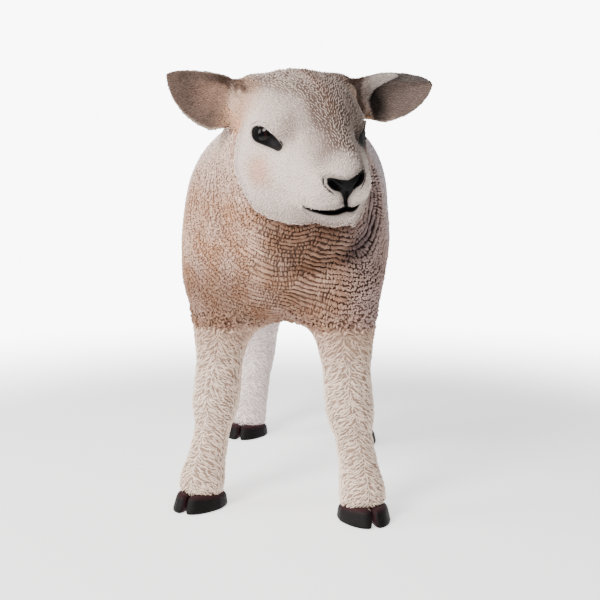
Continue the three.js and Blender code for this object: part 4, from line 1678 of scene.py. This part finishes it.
@dataclass
class Coat:
    """Lays locks over regions of the skin as joined closed solids."""

    skin: Skin
    finish: Material
    tree: BVHTree = field(init=False)
    corners: Array = field(init=False)
    areas: Array = field(init=False)
    laid: int = 0

    def __post_init__(self) -> None:
        """Measures the skin's triangles."""
        self.corners = self.skin.vertices[self.skin.triangles]
        a, b, c = self.corners.swapaxes(0, 1)
        self.areas = norm(np.cross(b - a, c - a), axis=1) / 2
        self.tree = BVHTree.FromPolygons(self.skin.vertices.tolist(), self.skin.triangles.tolist())

    def scattered(self, share: Array, pitch: float, draw: np.random.Generator) -> tuple[Array, Array]:
        """Places on the skin that keep their distance from each other.

        Args:
            share: how much of the coat each vertex of the skin bears, 0 to 1.
            pitch: the distance that they keep, in millimetres.
            draw: the source of random draws.

        Returns:
            The places and the skin's normals there.
        """
        weight = share[self.skin.triangles].mean(1) * self.areas
        count = int(2.8 * weight.sum() / pitch**2)
        chosen = np.searchsorted(np.cumsum(weight), draw.uniform(0, weight.sum(), count))
        chosen = np.minimum(chosen, len(weight) - 1)
        a, b = np.sqrt(draw.uniform(size=count)), draw.uniform(size=count)
        shares = np.column_stack([1 - a, a * (1 - b), a * b])
        points = (self.corners[chosen] * shares[..., None]).sum(1)
        normals = unit((self.skin.normals[self.skin.triangles[chosen]] * shares[..., None]).sum(1))
        kept = apart(points, pitch * 0.84)
        return points[kept], normals[kept]

    def on_skin(self, points: Array) -> tuple[Array, Array]:
        """The nearest places on the skin, and its normals there."""
        hits = [self.tree.find_nearest(point) for point in points.tolist()]
        return np.array([hit[0] for hit in hits]), np.array([hit[1] for hit in hits])

    def in_rows(self, roots: Array, tract: Tract) -> tuple[Array, Array]:
        """Draws places to the middles of the rows that they are nearest to."""
        nudge, most = 0.6, 5.0
        for _ in range(2):
            near, slope = growth(tract.rows, roots, nudge)
            slope /= nudge
            away = near - np.floor(near) - 0.5
            back = away[:, None] * slope / np.maximum((slope**2).sum(1, keepdims=True), 1e-4)
            length = norm(back, axis=1, keepdims=True)
            roots = roots - back * np.minimum(1, most / np.maximum(length, 1e-6)) * tract.drawn
            roots, normals = self.on_skin(roots)
        kept = apart(roots, tract.lock.apart)
        return roots[kept], normals[kept]

    def lay(self, tract: Tract) -> Object:
        """Lays and paints one piece of the coat.

        Args:
            tract: what is laid where.

        Returns:
            The piece.
        """
        self.laid += 1
        draw = np.random.default_rng(self.laid)
        lock = tract.lock
        roots, normals = self.scattered(tract.share, lock.pitch, draw)
        if tract.rows is not None:
            roots, normals = self.in_rows(roots, tract)
        at = Places(roots)
        vertices, crests = self.bodies(roots, normals, tract.flow(at, normals), lock, draw)
        starts = vertices.shape[1] * np.arange(len(roots))
        faces = (lock.faces()[None] + starts[:, None, None]).reshape(-1, 3)
        mesh = mesh_of(tract.name, vertices.reshape(-1, 3), faces)
        self.unwrap(mesh, faces, tract.unwrap(roots), lock)
        self.paint(mesh, at, crests, draw)
        made = piece(tract.name, mesh, self.finish)
        return made

    def bodies(
        self, roots: Array, normals: Array, along: Array, lock: Lock, draw: np.random.Generator
    ) -> tuple[Array, Array]:
        """Shapes the locks.

        Args:
            roots: their middles on the skin.
            normals: the skin's normals there.
            along: the way that each lies, as long as its length is to be stretched.
            lock: the kind of lock.
            draw: the source of random draws.

        Returns:
            Each lock's vertices, and how near each is to its crest.
        """
        count = len(roots)
        stretch = norm(along, axis=1, keepdims=True)
        along = tangent(along, normals)
        aside = unit(np.cross(normals, along))
        angle = np.radians(draw.normal(0, lock.stray, count))[:, None]
        cosine, sine = np.cos(angle), np.sin(angle)
        along, aside = along * cosine + aside * sine, aside * cosine - along * sine
        size = (1 + lock.vary * draw.uniform(-1, 1, (count, 3))) * (lock.length, lock.width, lock.height)
        size[:, :1] *= stretch
        bow = draw.normal(0, 1, count) * lock.curl * lock.length
        stations = lock.stations()
        bowed = (4 * stations * (1 - stations))[:, None, None] * aside * bow[:, None]
        spots = roots + (stations - 0.5)[:, None, None] * along * size[:, :1] + bowed
        ground, up = self.on_skin(spots.reshape(-1, 3))
        ground, up = ground.reshape(-1, count, 3), unit(up.reshape(-1, count, 3) + normals)
        round_end = np.sin(math.pi * np.clip(stations, 0.02, 0.98)) ** (0.75 - 0.6 * lock.blunt)
        profile = lock.profile()
        raised = profile[:, 1] > 0
        parts, crests = [], []
        for n, t in enumerate(stations):
            base = ground[n] + up[n] * (lock.lift * t * t * size[:, 2:])
            if t in (0, 1):
                parts.append((base - up[n] * SUNK)[:, None])
                crests.append(np.full((count, 1), 0.25 * t))
                continue
            across = profile[:, 0] * round_end[n] * size[:, 1:2]
            height = np.where(raised, profile[:, 1] * round_end[n] * size[:, 2:], -SUNK)
            sideways = aside[:, None] * across[..., None]
            parts.append(base[:, None] + sideways + up[n][:, None] * height[..., None])
            crests.append(np.tile(raised.astype(float), (count, 1)))
        return np.concatenate(parts, 1), np.concatenate(crests, 1)

    def paint(self, mesh: Mesh, at: Places, crests: Array, draw: np.random.Generator) -> None:
        """Paints the crests of the locks light, and their feet with the wash and painted shade of the
        hollows.
        """
        tone = draw.normal(1, 0.07, (len(crests), 1, 1))
        light, dark = MARKINGS.crest(at)[:, None], MARKINGS.hollow(at)[:, None]
        colour = (dark + (light - dark) * crests[..., None]) * tone
        black = MARKINGS.black(at)[:, None, None]
        colour = colour + (HUE.black - colour) * black
        gloss = np.repeat(shiny(black[:, 0, 0]), crests.shape[1])
        give_paint(mesh, colour.reshape(-1, 3), gloss=gloss)

    def unwrap(self, mesh: Mesh, faces: Array, where: Array, lock: Lock) -> None:
        """Gives each lock a small patch at its root's place on the map."""
        patch = (lock.patch() - 0.5) * PATCH
        spots = np.clip(where, PATCH, 1 - PATCH)[:, None] + patch[None]
        layer = mesh.uv_layers.new(name="OFBake")
        layer.data.foreach_set("uv", spots.reshape(-1, 2)[faces.ravel()].astype(np.float32).ravel())


SUNK = 0.45  # how deep a lock's edges and ends go into the skin
PATCH = 0.003  # a lock's room on the bake's map


# -------- the lie of the coat
NUDGE = 0.8  # how far off the slope of a measure is read


def tangent(direction: Array, normals: Array) -> Array:
    """Directions laid flat on the surface."""
    return unit(direction - normals * (direction * normals).sum(1, keepdims=True))


def face_flow(at: Places, normals: Array) -> Array:
    """On the face the hair runs back from the nose, fanning out over the forehead."""
    q = at.q
    away = unit(q - np.array([0, -96, -18]))
    fan = (np.sign(q[:, 0]) * 0.3 * step(q[:, 2], 10, 40))[:, None] * (1, 0, 0)
    sway = 0.16 * WAVY(at.p * 1.6)[:, None]
    back = (away + fan + sway * np.cross(away, (0, 0, 1.0))) @ turning(HEAD.turn).T
    return tangent(back, normals)


def border_flow(at: Places, normals: Array) -> Array:
    """Along the line where the face meets the fleece."""
    slope = growth(border_row, at.p, NUDGE)[1]
    return unit(np.cross(normals, unit(slope)))


def across_rows(rows: Rows) -> Flow:
    """The lie of nubs that lie across their rows."""

    def flow(at: Places, normals: Array) -> Array:
        slope = growth(rows, at.p, NUDGE)[1] / NUDGE
        slope -= normals * (slope * normals).sum(1, keepdims=True)
        steep = np.maximum(norm(slope, axis=1, keepdims=True), 1e-3)
        return slope / steep * np.clip(1 / (steep * ROW), 0.55, 1.8)

    return flow


def along_rows(rows: Rows) -> Flow:
    """The lie of cords that run along their rows."""
    across = across_rows(rows)
    return lambda at, normals: unit(np.cross(normals, across(at, normals)))


def curl_flow(at: Places, normals: Array) -> Array:
    """Curls that turn this way and that, on the whole downwards."""
    turn = 2.2 * TWIST(at.p)
    down = tangent(np.array([0.0, -0.2, -1.0]) + 0 * at.p, normals)
    return unit(down * np.cos(turn)[:, None] + np.cross(normals, down) * np.sin(turn)[:, None])


TWIST = Waves(16, 31)


def leg_flow(leg: Leg) -> Flow:
    """On a leg the hair parts down the middle of its front and runs down and round to the back."""

    def flow(at: Places, normals: Array) -> Array:
        p = at.p
        turn = np.radians(leg.side * leg.splay) * step(p[:, 2], 260, 60)
        ahead = np.column_stack([np.sin(turn), -np.cos(turn)])
        away = p[:, :2] - leg.middle(p)
        away /= np.maximum(norm(away, axis=1, keepdims=True), 1)
        cosine = (away * ahead).sum(1)
        side = ahead[:, 0] * away[:, 1] - ahead[:, 1] * away[:, 0]
        sway = 0.35 * WAVY(p * 2.5)
        parting = 1.25 * step(cosine, -0.3, 0.95) + 0.15 + sway
        parting *= np.tanh(side * 9)
        round_leg = np.column_stack([-away[:, 1], away[:, 0], 0 * sway])
        return tangent(round_leg * parting[:, None] + np.array([0, 0, -1.0]), normals)

    return flow


def ear_flow(ear: Ear) -> Flow:
    """On an ear the hair runs from the root and fans out to the edges."""
    along, up, _, _ = ear.axes()

    def flow(at: Places, normals: Array) -> Array:
        t, v, _ = ear.coordinates(at.p)
        fan = (np.clip(v, -1.2, 1.2) * (0.9 - 0.5 * np.clip(t, 0, 1)))[:, None]
        return tangent(along + up * fan, normals)

    return flow


def border_row(at: Places) -> Array:
    """The place across the one row of the cord round the face."""
    return at.border / 12 + 0.5


def flank_rows(at: Places) -> Array:
    """The place across the rows of nubs on the trunk, in rows."""
    return (at.y - 0.6 * at.z + 9 * FOLD_WAVE(at.p)) / ROW


# -------- unwraps of the skin
def round_map(middle: Triple, axis: int, low: float, high: float) -> Unwrap:
    """An unwrap of a long part: the angle round its axis, and the place along it.

    Args:
        middle: a point on the axis.
        axis: 0, 1 or 2, the axis that it is nearest to.
        low: where the part starts along that axis.
        high: where it ends.

    Returns:
        The unwrap.
    """
    one, two = [n for n in range(3) if n != axis]

    def unwrap(p: Array) -> Array:
        q = p - np.array(middle, float)
        angle = np.arctan2(q[:, two], q[:, one]) / (2 * math.pi) + 0.5
        return np.column_stack([angle, (p[:, axis] - low) / (high - low)])

    return unwrap


def leaf_map(ear: Ear) -> Unwrap:
    """An unwrap of an ear: its front on one half of the map, and its back on the other."""

    def unwrap(p: Array) -> Array:
        t, v, height = ear.coordinates(p)
        half = (np.clip(v, -1.3, 1.3) / 1.3 + 1) / 4
        return np.column_stack([np.where(height > 0, half, half + 0.5), 0.1 + 0.8 * np.clip(t, -0.1, 1.1)])

    return unwrap


# -------- the parts of the coat
@dataclass(frozen=True)
class FaceHair:
    """Strokes on the forehead, finer ones on the cheeks, and the cord round the face."""

    brow: Lock = Lock(6.8, 1.7, 1.6, 3.15, curl=0.05, stray=9, vary=0.3)
    cheek: Lock = Lock(5.6, 1.7, 1.4, 3.2, stray=14)
    cord: Lock = Lock(12, 2.6, 2.4, 2.6, rings=3, stray=1, apart=4.5)

    def tracts(self, at: Places) -> list[Tract]:
        """The pieces of the coat on the face and at the roots of the ears."""
        clear = (1 - step(MARKINGS.black(at), 0.3, 0.6)) * step(at.eye_edge, 0.4, 2.2)
        inside = at.face * clear * step(at.border, -1.0, -4.0)
        root = step(at.by_ear, 15, 9) * (1 - at.ear) * (1 - at.face)
        inside, brow = np.maximum(inside, root), np.maximum(step(MARKINGS.stipple(at), 0.22, 0.4), root)
        edge = bump(at.border, 0, 3.4) * step(at.q[:, 2], 14, -6) * (1 - at.ear)
        unwrap = round_map(HEAD.outward([[0, 0, 0]])[0], 2, 400, 630)
        return [
            Tract("coat_brow", "face", inside * brow, self.brow, face_flow, unwrap),
            Tract("coat_cheek", "face", inside * (1 - brow), self.cheek, face_flow, unwrap),
            Tract("coat_border", "face", edge, self.cord, border_flow, unwrap, border_row, 1.0),
        ]


@dataclass(frozen=True)
class Fleece:
    """Rows of nubs and cords on the neck and chest, small curls beside them, and nubs on the flanks."""

    nub: Lock = Lock(8.2, 4.5, 2.4, 2.7, section=Section.FLAT, curl=0.05, stray=14, apart=2.4, blunt=0.6)
    cord: Lock = Lock(
        16, 6.0, 2.4, 3.6, rings=3, section=Section.FLAT, curl=0.03, stray=4, apart=4.4, blunt=0.6
    )
    curl: Lock = Lock(5.6, 3.8, 2.2, 2.85, section=Section.FLAT, curl=0.14, stray=24, blunt=0.35, vary=0.3)
    tuft: Lock = Lock(
        9, 4.4, 3.4, 4.2, rings=3, section=Section.FLAT, curl=0.25, stray=30, blunt=0.2, lift=0.3, vary=0.35
    )
    low_nub: Lock = Lock(
        7.8, 4.4, 1.5, 3.6, section=Section.FLAT, curl=0.05, stray=12, apart=3.1, blunt=0.6, vary=0.2
    )

    @staticmethod
    def hem(at: Places) -> Array:
        """How near places are to the hems over the legs."""
        hems = [bump(at.z, leg.hem + 9, 22) * leg.near(at.p) for leg in LEGS.values()]
        return np.maximum.reduce(hems) * step(at.leg, 0.7, 0.3)

    @staticmethod
    def ordered(at: Places) -> Array:
        """Where the nubs of the neck and chest stand in rows, and not as loose curls."""
        rows = step(at.x + 18 * FOLD_WAVE(at.p), -44, -14) * step(at.ring, 235, 200) * step(at.border, 4, 14)
        rows *= 1 - step(at.x + 8 * WAVY(at.p), 62, 86) * step(at.z + 9 * FOLD_WAVE(at.p), 378, 352)
        return rows

    def tracts(self, at: Places) -> list[Tract]:
        """The pieces of the coat on the neck, the chest, the hems and the flanks."""
        ridge = bump(at.border, 0, 2.6) * at.jaw_side
        wool = (1 - at.face) * (1 - at.ear) * (1 - at.leg) * (1 - ridge) * step(at.by_ear, 8, 15)
        front, hem, rows = at.front * step(at.ring, 235, 205), self.hem(at), self.ordered(at)
        cords = rows * step(TWIST(at.p * 0.35), 0.22, 0.4)
        nubs, curls = wool * front * rows * (1 - cords) * (1 - hem), wool * front * (1 - rows) * (1 - hem)
        cords = wool * front * cords * (1 - hem)
        chest = round_map((10, -150, 400), 2, 250, 640)
        body = round_map((3, 22, 424), 1, -260, 340)
        across, along = across_rows(neck_rows), along_rows(neck_rows)
        tracts = [
            Tract("coat_rows", "wool", nubs, self.nub, across, chest, neck_rows),
            Tract("coat_cords", "wool", cords, self.cord, along, chest, neck_rows),
            Tract("coat_curls", "wool", curls, self.curl, curl_flow, chest, neck_rows, 0.2),
            Tract("coat_hem", "wool", wool * hem, self.tuft, curl_flow, chest),
        ]
        across = across_rows(flank_rows)
        for side in Side:
            half = wool * (1 - front) * (1 - hem) * (at.x * side > 0)
            name = f"coat_flank_{side.word}"
            tracts.append(Tract(name, "fleece", half, self.low_nub, across, body, flank_rows))
        return tracts


@dataclass(frozen=True)
class LegHair:
    """Wavy strokes down each leg, parted down its front, and a fringe over its hoof."""

    stroke: Lock = Lock(14, 3.2, 2.0, 3.2, rings=3, curl=0.16, stray=12, vary=0.35)
    fringe: Lock = Lock(11, 3.0, 2.2, 3.0, rings=3, curl=0.06, stray=12, lift=1.3, vary=0.3)

    def tracts(self, at: Places) -> list[Tract]:
        """Two pieces of the coat on each leg."""
        tracts = []
        for name, leg in LEGS.items():
            x, y = leg.joints()[-1][:2]
            unwrap, flow = round_map((x - 12 * leg.side, y + 15, 0), 2, 0, 300), leg_flow(leg)
            share, over = at.leg * leg.near(at.p) * (1 - MARKINGS.horn(at)), leg.over_hoof(at.p)
            leg_share, fringe_share = share * step(over, 3, 8), share * step(over, 9, 5)
            tracts.append(Tract(f"coat_leg_{name}", "hair", leg_share, self.stroke, flow, unwrap))
            tracts.append(Tract(f"coat_fringe_{name}", "hair", fringe_share, self.fringe, flow, unwrap))
        return tracts


@dataclass(frozen=True)
class EarHair:
    """Fine strokes on the ears."""

    stroke: Lock = Lock(8, 1.7, 1.0, 2.7, stray=10, vary=0.35)

    def tracts(self, at: Places) -> list[Tract]:
        """One piece of the coat on each ear."""
        near = {Side.LEFT: at.x > 60, Side.RIGHT: at.x < -20}
        tracts = []
        for side, ear in EARS.items():
            share, flow, unwrap = at.ear * near[side], ear_flow(ear), leaf_map(ear)
            tracts.append(Tract(f"coat_ear_{side.word}", "ear", share, self.stroke, flow, unwrap))
        return tracts


# -------- eyes and hooves
@dataclass
class Eye:
    """A smooth eyeball with a slight cornea, which stands for the plain ball."""

    name: str
    side: Side
    finish: Material
    cell: float = 1.6
    cornea: float = 0.6

    def build(self) -> Object:
        """Meshes the eye and marks its ring."""
        mirror = np.array([self.side, 1, 1])
        middle = HEAD.outward(HEAD.eyeball() * mirror)
        gaze = unit((np.array(HEAD.gaze) * mirror) @ turning(HEAD.turn).T)

        def ball(p: Array) -> Array:
            away = p - middle
            reach = norm(away, axis=1)
            front = away @ gaze / np.maximum(reach, 1e-6)
            return reach - HEAD.ball_radius - self.cornea * step(front, 0.82, 0.97)

        room = HEAD.ball_radius + 4
        vertices, quads = net(ball, middle - room, middle + room, self.cell)
        vertices = settled(ball, vertices, 1.0)
        mesh = mesh_of(f"eyeball_{self.name}", vertices, quads)
        front = np.arccos(np.clip(unit(vertices - middle) @ gaze, -1, 1))
        give_paint(mesh, np.zeros((len(vertices), 3)), iris=bump(front, 0.52, 0.16))
        made = piece(f"eyeball_{self.name}", mesh, self.finish)
        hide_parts(f"eye_{self.name}")
        return made


@dataclass
class Hoof:
    """A cloven hoof: two claws on flat soles, joined at the heel, which stands for the plain one."""

    name: str
    leg: Leg
    finish: Material
    half_length: float = 43.0
    width: float = 34.5
    cleft: float = 3.0
    round_edge: float = 5.0
    cell: float = 2.3

    def field(self) -> Field:
        """The hoof's shape in the foot's own frame, toes to -Y."""

        def at(p: Array) -> Array:
            across, y, z = np.abs(p[:, 0]), p[:, 1], p[:, 2]
            rise = np.clip((z - 6) / 38, -0.15, 1.2)
            shrink = 1 - 0.2 * rise
            ahead = -(y - 8 * rise) / (self.half_length * shrink)
            toe = 1 - 0.3 * np.clip(ahead, 0, 1)
            inner = self.cleft / 2 + 0.05 * self.width
            out = (across / shrink - inner) / (self.width * toe * 0.96)
            reach = (np.abs(out) ** 2.4 + np.abs(ahead) ** 2.6) ** (1 / 2.5)
            wall = (reach - 1) * self.width * 0.9
            gap = self.cleft / 2 + 1.2 * step(ahead, 0.75, 1.1) + 1.5 * step(z, 7, 0) - across
            claw = trimmed(wall, gap, self.round_edge)
            heel = np.hypot(across / 1.05, z - 15) - 18.5
            heel = trimmed(np.maximum(heel, y - 41), 4 - y, self.round_edge)
            top = z - CORONET + y * CORONET_RISE
            return trimmed(trimmed(smoothly(claw, heel, 5), top, 9.0), -z, 2.0)

        return at

    def build(self) -> Object:
        """Meshes and paints the hoof."""
        middle, turn = self.leg.foot()
        shape = self.field()
        vertices, quads = net(shape, (-44, -54, -6), (44, 52, 40), self.cell)
        vertices = settled(shape, vertices, 1.0)
        vertices[:, 2] = np.maximum(vertices[:, 2], 0)
        top = vertices[:, 2] - CORONET + vertices[:, 1] * CORONET_RISE
        plum = np.maximum(step(top, -9, 0) * 0.7, step(np.abs(vertices[:, 0]), 4.5, 1.5) * 0.8)
        colour = blend(np.repeat(HUE.hoof[None], len(vertices), 0), HUE.plum, plum)
        mesh = mesh_of(f"claws_{self.name}", vertices @ turn.T + middle, quads)
        give_paint(mesh, colour)
        made = piece(f"claws_{self.name}", mesh, self.finish)
        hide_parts(f"hoof_{self.name}")
        return made


# -------- the studio
@dataclass(frozen=True)
class Lamp:
    """A soft square lamp: its place and size in metres, and its power in watts."""

    name: str
    where: Triple
    size: float
    power: float
    colour: Triple


@dataclass(frozen=True)
class Studio:
    """Camera, lights and floor."""

    eye: Triple = (123, -1633, 478)
    yaw: float = 3.84
    down: float = 6.76
    lens: float = 61.74
    sensor: float = 36.0
    floor_size: float = 16.0
    glow: float = 0.42  # how bright the white room is, as light on the lamb
    seen_glow: float = 9.0  # and as it is seen
    aim: Triple = (0, -0.1, 0.35)  # what the lamps look at: the lamb's chest, in metres
    lamps: tuple[Lamp, ...] = (
        Lamp("key", (-1.3, -2.1, 1.9), 1.0, 130, (1.0, 0.975, 0.95)),
        Lamp("left", (-2.4, -0.5, 1.2), 1.4, 54, (1.0, 0.985, 0.97)),
        Lamp("fill", (1.9, -1.9, 0.8), 1.8, 7, (0.97, 0.98, 1.0)),
        Lamp("rim", (1.6, 2.0, 1.8), 1.6, 7, (0.97, 0.98, 1.0)),
    )

    def build(self) -> None:
        """Sets the studio up."""
        self.camera()
        self.floor()
        self.room()
        for lamp in self.lamps:
            self.hang(lamp)

    def room(self) -> None:
        """Makes the room white all round, brighter to see than as light."""
        world = bpy.data.worlds.new("studio")
        bpy.context.scene.world = world
        world.use_nodes = True
        room = Nodes(world.node_tree)
        seen = room.node("ShaderNodeLightPath").outputs["Is Camera Ray"]
        inputs = {"Value": seen, "To Min": self.glow, "To Max": self.seen_glow}
        strength = room.node("ShaderNodeMapRange", inputs=inputs).outputs["Result"]
        light = room.node("ShaderNodeBackground", inputs={"Color": (1, 1, 1), "Strength": strength})
        room.node("ShaderNodeOutputWorld", inputs={"Surface": light.outputs["Background"]})

    def camera(self) -> None:
        """Puts the camera in front of the lamb, a little to its left and above its head."""
        yaw, down = math.radians(self.yaw), math.radians(self.down)
        ahead = Vector((-math.sin(yaw) * math.cos(down), math.cos(yaw) * math.cos(down), -math.sin(down)))
        data = bpy.data.cameras.new("camera")
        data.lens, data.sensor_width, data.clip_end = self.lens, self.sensor, 50
        camera = bpy.data.objects.new("camera", data)
        camera.location = (np.array(self.eye) + SHIFT) * MM
        camera.rotation_euler = ahead.to_track_quat("-Z", "Y").to_euler()
        bpy.context.scene.collection.objects.link(camera)
        bpy.context.scene.camera = camera

    def floor(self) -> None:
        """Lays a wide pale floor."""
        mesh = bpy.data.meshes.new("floor")
        half = self.floor_size / 2
        corners = [(x * half, y * half, -0.0005) for x, y in ((-1, -1), (1, -1), (1, 1), (-1, 1))]
        mesh.from_pydata(corners, [], [(0, 1, 2, 3)])
        mesh.materials.append(PaleFloor().material())
        floor = bpy.data.objects.new("floor", mesh)
        bpy.context.scene.collection.objects.link(floor)

    def hang(self, lamp: Lamp) -> None:
        """Hangs a lamp that looks at the lamb's chest."""
        data = bpy.data.lights.new(lamp.name, "AREA")
        data.energy, data.size, data.color = lamp.power, lamp.size, lamp.colour
        made = bpy.data.objects.new(lamp.name, data)
        made.location = lamp.where
        made.rotation_euler = (Vector(self.aim) - Vector(lamp.where)).to_track_quat("-Z", "Y").to_euler()
        bpy.context.scene.collection.objects.link(made)


# -------- the whole lamb
def report(made: Object) -> None:
    """Logs a piece's size."""
    LOG.info("%s: %d vertices, %d faces", made.name, len(made.data.vertices), len(made.data.polygons))


def main() -> None:
    """Builds the studio, then the lamb piece by piece: its skin, eyes, hooves and coat."""
    logging.basicConfig(level=logging.INFO, format="%(name)s: %(message)s")
    Studio().build()
    skin = Skin()
    report(skin.build())
    gloss, horn = GlossEye().material(), HoofPaint().material()
    for side in Side:
        report(Eye(side.word, side, gloss).build())
    for name, leg in LEGS.items():
        report(Hoof(name, leg, horn).build())
    coat = Coat(skin, PaintedResin("painted_resin").material())
    for part in (FaceHair(), Fleece(), LegHair(), EarHair()):
        for tract in part.tracts(skin.places):
            report(coat.lay(tract))


if __name__ == "__main__":
    main()
